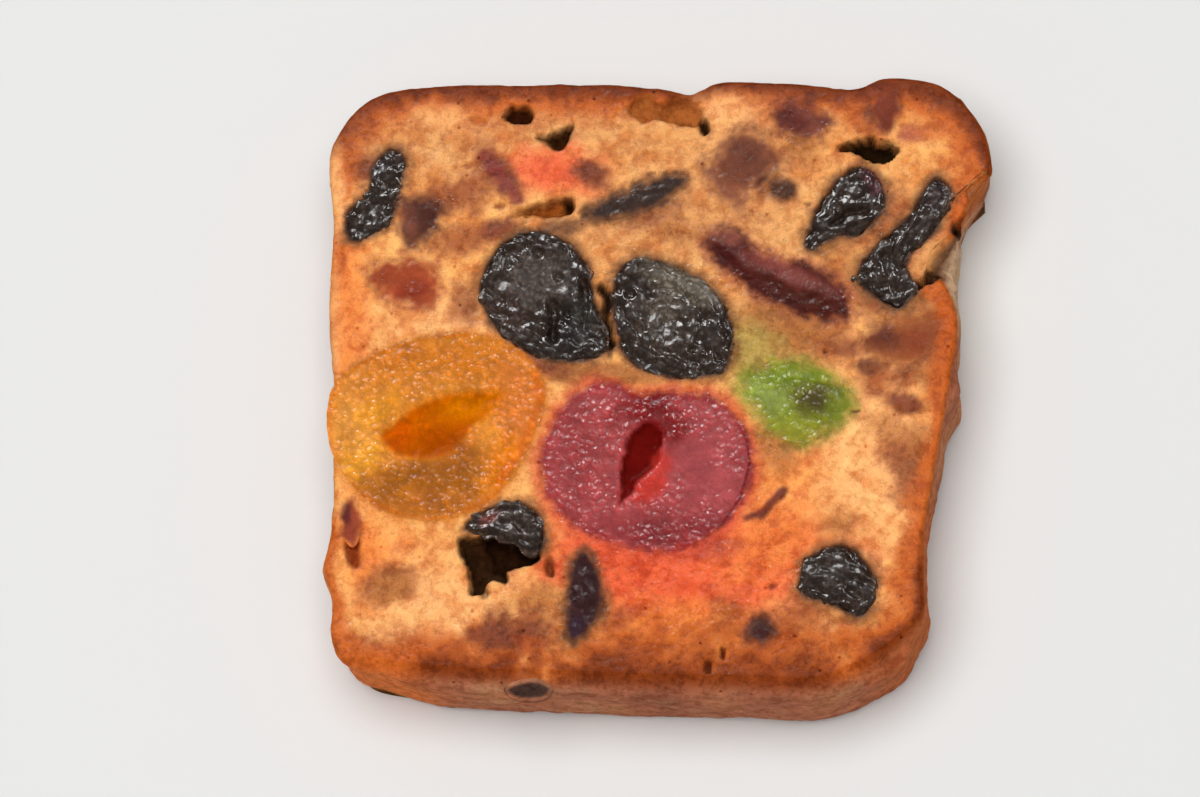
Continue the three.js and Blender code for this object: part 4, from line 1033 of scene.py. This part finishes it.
def fruitSkin(fruit, seed):
    # A closed skin over a fruit. Stations run from one end of its outline to the other, and at each
    # a closed section goes over the face from right to left and back underneath in a rounded belly.
    fine, right, left, length = fruitHalves(fruit, seed)
    spacing = fruit.get("spacing", plainSpacing)
    at = np.linspace(0, 1, 40)
    facing = [half[(at * (len(half) - 1)).astype(int)] for half in (right, left)]
    width = np.linalg.norm(facing[0] - facing[1], axis=1).max()
    stations, across = int(length / spacing), int(width / spacing)
    s = (1 - np.cos(np.linspace(0, math.pi, stations + 1)[1:-1])) / 2
    sides = []
    for half in (right, left):
        place = s * (len(half) - 1)
        sides.append(np.stack([np.interp(place, np.arange(len(half)), half[:, k]) for k in (0, 1)], axis=1))
    v = 0.5 * np.sin(np.linspace(-1, 1, across) * math.pi / 2) + 0.5 * np.linspace(-1, 1, across)
    belly = np.linspace(0, math.pi, 22)[1:-1]
    share = np.concatenate([(v + 1) / 2, (1 + np.cos(belly)) / 2])
    xy = sides[0][:, None] * (1 - share[None, :, None]) + sides[1][:, None] * share[None, :, None]
    x, y = xy[..., 0].ravel(), xy[..., 1].ravel()
    top = fruitTop(x, y, fruit, fine[::4], seed)
    if "hollow" in fruit:
        uneven = 0.12 * hills(flatPoints(x, y), 2.2, seed + 7)
        top -= (fruit["hollowDepth"] + uneven) * hollowDepth(x, y, fruit)
    if "edgeDrop" in fruit:
        top += 0.1 - np.interp(-signedDistance(x, y, edgeLoop), *np.array(fruit["edgeDrop"], float).T)
    z = (thickness + top).reshape(xy.shape[:2])
    ends = np.sqrt(np.clip(1 - (2 * s - 1) ** 2, 0, 1))[:, None] ** 0.7
    lip = z[:, [0, across - 1]]
    rim = lip[:, :1] * (1 - share[None, across:]) + lip[:, 1:] * share[None, across:]
    z[:, across:] = rim - fruit["depth"] * ends * np.sin(belly)[None] ** 0.75
    poles = np.array([[*right[0], thickness - 0.2], [*right[-1], thickness - 0.2]])
    verts = np.vstack([np.stack([x, y, z.ravel()], axis=1), poles])
    rows, cols = xy.shape[:2]
    grid = np.arange(rows * cols).reshape(rows, cols)
    turned = np.roll(grid, -1, axis=1)
    quads = np.stack([grid[:-1], grid[1:], turned[1:], turned[:-1]], axis=-1).reshape(-1, 4)
    start = np.stack([np.full(cols, rows * cols), grid[0], turned[0]], axis=1)
    end = np.stack([grid[-1], np.full(cols, rows * cols + 1), turned[-1]], axis=1)
    return verts, quads, quads.tolist() + start.tolist() + end.tolist()


def fruitPiece(name, fruit, under, seed):
    # One fruit: its skin, with the colours of the cut face that it shows in, or a raisin's own, and
    # turned over for the underside
    verts, quads, faces = fruitSkin(fruit, seed)
    px, py = verts[:, 0], verts[:, 1]
    fruits = underFruit if under else upperFruit
    if fruit["finish"] == "raisin":
        order = list(fruits).index(name)
        colours = fruitColours(px, py, fruit, -signedDistance(px, py, loops[name]), 200 + 20 * order)
    else:
        colours, _ = faceColours(px, py, fruits, under)
    moist = fruit["moist"] * (0.8 + 0.4 * hills(verts, 2.0, seed + 13))
    for ellipse in fruit.get("calm", []):
        moist *= 0.45 + 0.55 * smoothStep(ellipseReach(px, py, *ellipse), 0.6, 1.2)
    skins = [finishes[fruit["finish"]]]
    kinds = np.zeros(len(faces), np.int32)
    if "hollow" in fruit:
        deep = hollowDepth(px, py, fruit)
        moist *= 1 - deep
        skins.append(finishes[fruit["finish"] + "Pit"])
        kinds[: len(quads)] = deep[quads].mean(1) > 0.03  # the dull finish of the stone hollow
    if under:
        verts[:, 2] = np.maximum(thickness + underRecess - verts[:, 2], 0.03)
        faces = [face[::-1] for face in faces]
    piece = meshPiece("fruit_" + name, verts, faces, colours, moist, skins)
    piece.data.polygons.foreach_set("material_index", kinds)
    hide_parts(name)


for order, (name, fruit) in enumerate({**upperFruit, **underFruit}.items()):
    fruitPiece(name, fruit, name in underFruit, 100 + 31 * order)
print("fruit made")


def crustInset(z):
    # How far the side stays inside the outline at height z, by straight steps between given heights
    heights, insets = np.array(cake["side"]).T
    return np.interp(z, heights, insets)


def frontInset(z, normal):
    # The same for the front, whose upper edge is rounder, by how far each point faces the front
    facing = smoothStep(-normal[:, 1], 0.4, 0.95)
    return facing * np.interp(z, *np.array(cake["frontSide"], float).T)


def upperFace(x, y):
    # Height and colour of the upper cut face: sponge relief, pockets sunk under each fruit, open
    # hollows with ragged walls, painted dark inside as shade where they are deep, small pits, and
    # painted shade in the pores. Hollowed is 1 where such a hollow is open.
    points = flatPoints(x, y)
    relief, pore = crumbRelief(points, 1)
    z = thickness - 0.04 + relief
    colours, moist = faceColours(x, y, upperFruit, False)
    ragged = 0.3 * hills(points, 1.2, 60) + 0.25 * hills(points, 0.6, 61)
    bendX = hills(points, 1.6, 62) + 0.5 * hills(points, 0.8, 63)
    bendY = hills(points, 1.6, 64) + 0.5 * hills(points, 0.8, 65)
    for name, fruit in upperFruit.items():
        away = signedDistance(x, y, loops[name])
        deep = 6.0 if "hollow" in fruit else 1.4
        into = -away + (0.9 * ragged if fruit["finish"] == "raisin" else -0.15)
        z -= 1.2 * smoothStep(into, 0.2, 0.7) + (deep - 1.2) * smoothStep(-away, 0.8, 3.0)
    hollowed = np.zeros(len(x))
    for outline, depth, wall, code in cake["hollows"]:
        loop = smoothLoop(outline, 80)
        give = min(0.6, 0.09 * np.mean(loop.max(0) - loop.min(0)))
        away = signedDistance(x + give * bendX, y + give * bendY, loop) + 0.8 * give * ragged
        sunk = smoothStep(-away, -0.05, wall)
        full = depth * (1 + 0.25 * hills(points, 1.3, 56))
        z -= sunk * full
        hollowed = np.maximum(hollowed, sunk)
        # the hollow's colour over its floor and walls: painted shade in the deep ones
        colours = mixed(colours, code, 0.985 * smoothStep(-away, -0.3, wall * 0.8))
        moist *= 1 - 0.7 * sunk
    for cx, cy, long, wide, tilt, depth, code in cake["pits"]:
        reach = ellipseReach(x + 0.2 * ragged, y + 0.2 * ragged, cx, cy, long, wide, tilt)
        sunk = 1 - smoothStep(reach, 0.6, 1.3)
        z -= depth * sunk
        colours = mixed(colours, code, 0.9 * sunk)
    # painted shade in the pores, which darkens red least
    colours = colours * (1 - 0.3 * pore[:, None] * [0.6, 1.0, 1.2])
    return z, np.clip(colours, 0, 1), moist, hollowed


def underFace(x, y):
    # The lower cut face: flat where it rests, with pores and fruit pockets that open downwards
    points = flatPoints(x, y)
    relief, pore = crumbRelief(points, 11)
    z = 0.02 + np.maximum(0, 0.12 - relief) * 0.6
    colours, moist = faceColours(x, y, underFruit, True)
    for name in underFruit:
        z += 1.2 * smoothStep(-signedDistance(x, y, loops[name]), 0.12, 0.9)
    # painted shade in the pores
    return z, np.clip(colours * (1 - 0.25 * pore[:, None]), 0, 1), moist


def squareGrid(count, ring):
    # A square grid carried onto the outline: each point keeps its share m of the way out, and moves
    # from the plain square towards the outline as m cubed. The ring gives the outline's points.
    line = np.linspace(-1, 1, count + 1)
    u, v = np.meshgrid(line, line)
    m = np.maximum(np.maximum(np.abs(u), np.abs(v)), 1e-9)
    bu, bv = u / m, v / m
    around = np.select(
        [bv <= -1 + 1e-12, bu >= 1 - 1e-12, bv >= 1 - 1e-12],
        [(bu + 1) / 2, 1 + (bv + 1) / 2, 2 + (1 - bu) / 2], 3 + (1 - bv) / 2)
    at = around % 4 * len(ring) / 4
    closed = np.vstack([ring, ring[:1]])
    out = np.stack([np.interp(at, np.arange(len(closed)), closed[:, k]) for k in (0, 1)], axis=-1)
    half = 0.5 * (ring.max(0) - ring.min(0))
    plain = np.stack([bu * half[0], bv * half[1]], axis=-1)
    share = (m**3)[..., None]
    return m[..., None] * (plain * (1 - share) + out * share)


def edgeRing(count):
    # Points of the outline in the directions of the border points of a square, anticlockwise from
    # its lower left corner, with the outward normal at each
    loop = smoothLoop(cake["edge"], 3000)
    angle = np.unwrap(np.arctan2(loop[:, 1], loop[:, 0]))
    angle = np.maximum.accumulate(angle + np.arange(len(angle)) * 1e-9)
    line = np.linspace(-1, 1, count + 1)[:-1]
    one = np.ones(count)
    u = np.concatenate([line, one, -line, -one])
    v = np.concatenate([-one, line, one, -line])
    want = np.unwrap(np.arctan2(v, u))
    turns = (want - angle[0]) % (2 * math.pi) + angle[0]
    ringAt = np.interp(turns, np.r_[angle, angle[0] + 2 * math.pi], np.arange(len(loop) + 1))
    closed = np.vstack([loop, loop[:1]])
    ring = np.stack([np.interp(ringAt, np.arange(len(closed)), closed[:, k]) for k in (0, 1)], axis=1)
    along = np.roll(ring, -2, axis=0) - np.roll(ring, 2, axis=0)
    along /= np.linalg.norm(along, axis=1)[:, None]
    return ring, np.stack([along[:, 1], -along[:, 0]], axis=1)


def borderIndex(count):
    # Indices of a square grid's border, anticlockwise from its lower left corner
    grid = np.arange((count + 1) ** 2).reshape(count + 1, count + 1)
    return np.concatenate([grid[0, :-1], grid[:-1, -1], grid[-1, :0:-1], grid[:0:-1, 0]])


def gridQuads(count, start, up):
    # The corners of each cell of a square grid, in the order that faces up or down
    grid = np.arange((count + 1) ** 2).reshape(count + 1, count + 1) + start
    corners = [grid[:-1, :-1], grid[:-1, 1:], grid[1:, 1:], grid[1:, :-1]]
    return np.stack(corners if up else corners[::-1], axis=-1).reshape(-1, 4)


crustLook = {
    "brown": "#B87052", "paler": "#C48058", "darker": "#9C5C44", "streak": "#CC9870",
    # places with a colour of their own: right, strip and high on the right side, and corner; left is
    # painted light, paler high on the left side, and crack is painted shade along the crack
    "right": "#C2683A", "strip": "#D8B490", "high": "#CC6C2E", "corner": "#EA7E40", "left": "#F0A070",
    "crack": "#5A3018", "crackPath": [(27.2, 10.4), (29.4, 12.4), (31.2, 14.6), (32.4, 17)],
}


def crustColours(row, streaks, fine, share):
    # Browned crust of the side: patches and streaks, then warmer and paler places (the pale one high
    # on the left is painted light), painted shade in the crack beside the loose tongue of crumb, and
    # fine grain. Share is 1 at the upper edge and 0 at the lower.
    colours = np.tile(hexColour(crustLook["brown"]), (len(row), 1))
    patch = hills(row, 6.0, 63)
    colours = mixed(colours, crustLook["paler"], 0.8 * smoothStep(patch, 0.0, 0.7))
    colours = mixed(colours, crustLook["darker"], 0.7 * smoothStep(-patch, 0.1, 0.7))
    colours = mixed(colours, crustLook["streak"], 0.45 * smoothStep(streaks + 0.4 * fine, 0.25, 0.9))
    # the places keep to borders bent by two sizes of hills
    x = row[:, 0] + 2.2 * hills(row, 4.5, 67) + 1.0 * hills(row, 1.6, 68)
    y = row[:, 1] + 2.2 * hills(row, 4.5, 69) + 1.0 * hills(row, 1.6, 70)
    crack = awayFromPath(row[:, 0], row[:, 1], crustLook["crackPath"])
    places = {
        "right": smoothStep(x, 19, 25) * smoothStep(y, -34, -29) * smoothStep(-y, 8, 17),
        "high": smoothStep(x, 30, 32) * smoothStep(y, 17, 21) * smoothStep(share, 0.1, 0.7),
        "strip": smoothStep(x, 26, 28) * smoothStep(y, 3, 9) * smoothStep(-y, -22, -17),
        "corner": smoothStep(-x, 20, 29) * smoothStep(-y, 18, 27),
        # painted light: paler high on the left side
        "left": smoothStep(-row[:, 0], 31, 33.5) * smoothStep(row[:, 1], -30, -22)
                * smoothStep(share, 0.4, 0.9),
        # painted shade in the crack
        "crack": smoothStep(share, 0.85, 0.9) * (1 - smoothStep(crack, 1.2, 2.0)),
    }
    for place, within in places.items():
        colours = mixed(colours, crustLook[place], 0.85 * within)
    grain = 1 + 0.14 * hills(row, 0.9, 71) + 0.12 * hills(row, 0.45, 72)
    return np.clip(colours * grain[:, None], 0, 1)


def crustRows(ring, normal, rimZ, rimColours):
    # Rows of the ring's points down the crust, from near the upper face to near the lower one. A row
    # stands out by the swells, its waves and its roughness, and in by the insets. Its colours fade
    # into the upper face's towards the top.
    around = np.arange(len(ring)) / len(ring) * 2 * math.pi
    swell = np.zeros(len(ring))
    for sx, sy, out, reach in cake["swells"]:
        swell += out * np.exp(-(np.hypot(ring[:, 0] - sx, ring[:, 1] - sy) / reach) ** 2)
    rows, rowColours = [], []
    upper, lower = [0.99, 0.975, 0.955, 0.93], [0.05, 0.03, 0.012]
    for share in np.concatenate([upper, np.linspace(0.9, 0.08, 16), lower]):
        nominal = share * thickness
        fullness = smoothStep(cake["swellTop"] - nominal, 0, cake["swellTop"] - cake["swellFull"])
        mid = math.sin(math.pi * share)
        waves = 0.12 * np.sin(11 * around + 0.4 * nominal) + 0.08 * np.sin(23 * around - 0.7 * nominal)
        out = swell * fullness + waves * mid - crustInset(nominal) - frontInset(nominal, normal)
        row = np.c_[ring + normal * out[:, None], rimZ * share]
        streaks = hills(row * [0.25, 0.25, 1.6], 1.0, 61)
        fine = hills(row, 0.7, 62)
        rough = 0.07 * streaks + 0.08 * fine + 0.12 * hills(row, 1.7, 66)
        row[:, :2] += normal * rough[:, None] * min(1, mid * 6)
        rows.append(row)
        colours = crustColours(row, streaks, fine, share)
        rowColours.append(mixed(colours, rimColours, smoothStep(share, 0.9, 1.0) * np.ones(len(ring))))
    return rows, rowColours


def cakePiece():
    # One closed skin: a fine grid over the upper face, rows of the same border points down the
    # crust, and a grid half as fine over the underside, joined two border points to one
    n = cake["cells"]
    ring, normal = edgeRing(n)
    topRing = ring - normal * (crustInset(thickness) + frontInset(thickness, normal))[:, None]
    xy = squareGrid(n, topRing).reshape(-1, 2)
    z, topColours, topMoist, hollowed = upperFace(xy[:, 0], xy[:, 1])
    top = np.c_[xy, z]
    border = borderIndex(n)
    sides, sideColours = crustRows(ring, normal, top[border, 2], topColours[border])

    m = n // 2
    lowRing = ring[::2] - normal[::2] * crustInset(0.0)
    lowXy = squareGrid(m, lowRing).reshape(-1, 2)
    lowZ, lowColours, lowMoist = underFace(lowXy[:, 0], lowXy[:, 1])

    verts = np.vstack([top, *sides, np.c_[lowXy, lowZ]])
    colours = np.vstack([topColours, *sideColours, lowColours])
    moist = np.concatenate([topMoist, np.zeros(4 * n * len(sides)), lowMoist])
    rows = np.vstack([border[None], len(top) + np.arange(4 * n * len(sides)).reshape(-1, 4 * n)])
    turned = np.roll(rows, -1, axis=1)
    walls = np.stack([rows[:-1], rows[1:], turned[1:], turned[:-1]], axis=-1).reshape(-1, 4)
    lowStart = len(top) + 4 * n * len(sides)
    coarse = borderIndex(m) + lowStart
    nextCoarse = np.roll(coarse, -1)
    a, b, c = rows[-1][0::2], rows[-1][1::2], np.roll(rows[-1], -2)[0::2]
    seam = np.vstack([np.c_[a, coarse, b], np.c_[b, coarse, nextCoarse], np.c_[b, nextCoarse, c]])
    upper = gridQuads(n, 0, True)
    faces = upper.tolist() + walls.tolist() + seam.tolist() + gridQuads(m, lowStart, False).tolist()
    skins = [finishes["crumb"], finishes["crust"]]
    piece = meshPiece("cake_crumb", verts, faces, colours, moist, skins)
    kinds = np.zeros(len(faces), np.int32)
    kinds[: n * n] = hollowed[upper].mean(1) > 0.25
    kinds[n * n : n * n + len(walls)] = 1
    piece.data.polygons.foreach_set("material_index", kinds)
    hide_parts("cake")


cakePiece()
print("cake made")


view = {
    "target": (-6.14, -1.1),    # where the middle of the picture falls on the upper face
    "distance": 520.0,
    "leanRight": 4.5, "leanFront": 12.5,    # degrees off the vertical
    "scale": 9.5,               # picture points to a millimetre at the target
    "imageWidth": 1200, "sensor": 36.0,
}
sky = {"colour": (0.97, 0.98, 1.0, 1), "strength": 0.2}
# place and width in metres, power in watts, and whether the lamp shows only in gloss or never
lamps = {
    "ceilingLight": ((-0.06, 0.0, 0.95), 0.68, 8.2, False),
    "glintLeft": ((-0.42, 0.72, 0.55), 0.46, 10.5, True),
    "glintRight": ((0.45, 0.45, 0.77), 0.26, 3.4, True),
}
floorLook = {"half": 2.0, "colour": "#E9E9E7", "roughness": 0.5, "specular": 0.1}


def addFloor():
    # A plain square at height 0
    half = floorLook["half"]
    corners = [(-half, -half, 0), (half, -half, 0), (half, half, 0), (-half, half, 0)]
    mesh = bpy.data.meshes.new("floor")
    mesh.from_pydata(corners, [], [(0, 1, 2, 3)])
    material = bpy.data.materials.new("paleFloor")
    material.use_nodes = True
    shader = material.node_tree.nodes["Principled BSDF"]
    shader.inputs["Base Color"].default_value = (*hexColour(floorLook["colour"]), 1)
    shader.inputs["Roughness"].default_value = floorLook["roughness"]
    shader.inputs["Specular IOR Level"].default_value = floorLook["specular"]
    mesh.materials.append(material)
    floor = bpy.data.objects.new("floor", mesh)
    bpy.context.scene.collection.objects.link(floor)


def addCamera():
    # Aimed at the target from the distance, leaning off the vertical by the two angles
    lens = bpy.data.cameras.new("camera")
    lens.sensor_width = view["sensor"]
    lens.lens = view["distance"] * view["scale"] / view["imageWidth"] * view["sensor"]
    lens.clip_end = 10
    camera = bpy.data.objects.new("camera", lens)
    leanRight, leanFront = (math.tan(math.radians(view[key])) for key in ("leanRight", "leanFront"))
    back = Vector((leanRight, -leanFront, 1)).normalized()
    right = Vector((0, 1, 0)).cross(back).normalized()
    up = back.cross(right)
    place = (Vector((*view["target"], thickness)) + back * view["distance"]) * metre
    camera.matrix_world = Matrix.Translation(place) @ Matrix((right, up, back)).transposed().to_4x4()
    bpy.context.scene.collection.objects.link(camera)
    bpy.context.scene.camera = camera


def addArea(name, place, size, power, glossOnly):
    # A disk light aimed at the slice: either one that only shows in gloss, or one that never does
    data = bpy.data.lights.new(name, "AREA")
    data.shape = "DISK"
    data.size = size
    data.energy = power
    light = bpy.data.objects.new(name, data)
    light.location = place
    light.rotation_euler = (-Vector(place)).to_track_quat("-Z", "Y").to_euler()
    light.visible_glossy = glossOnly
    light.visible_diffuse = not glossOnly
    bpy.context.scene.collection.objects.link(light)


def addLight():
    # A soft sky, one wide lamp above for the colours and two lamps behind for the glints
    world = bpy.data.worlds.new("softSky")
    world.use_nodes = True
    background = world.node_tree.nodes["Background"]
    background.inputs["Color"].default_value = sky["colour"]
    background.inputs["Strength"].default_value = sky["strength"]
    bpy.context.scene.world = world
    for name, (place, size, power, glossOnly) in lamps.items():
        addArea(name, place, size, power, glossOnly)
    bpy.context.scene.view_settings.view_transform = "Standard"


addFloor()
addCamera()
addLight()
print("floor, light and camera made")
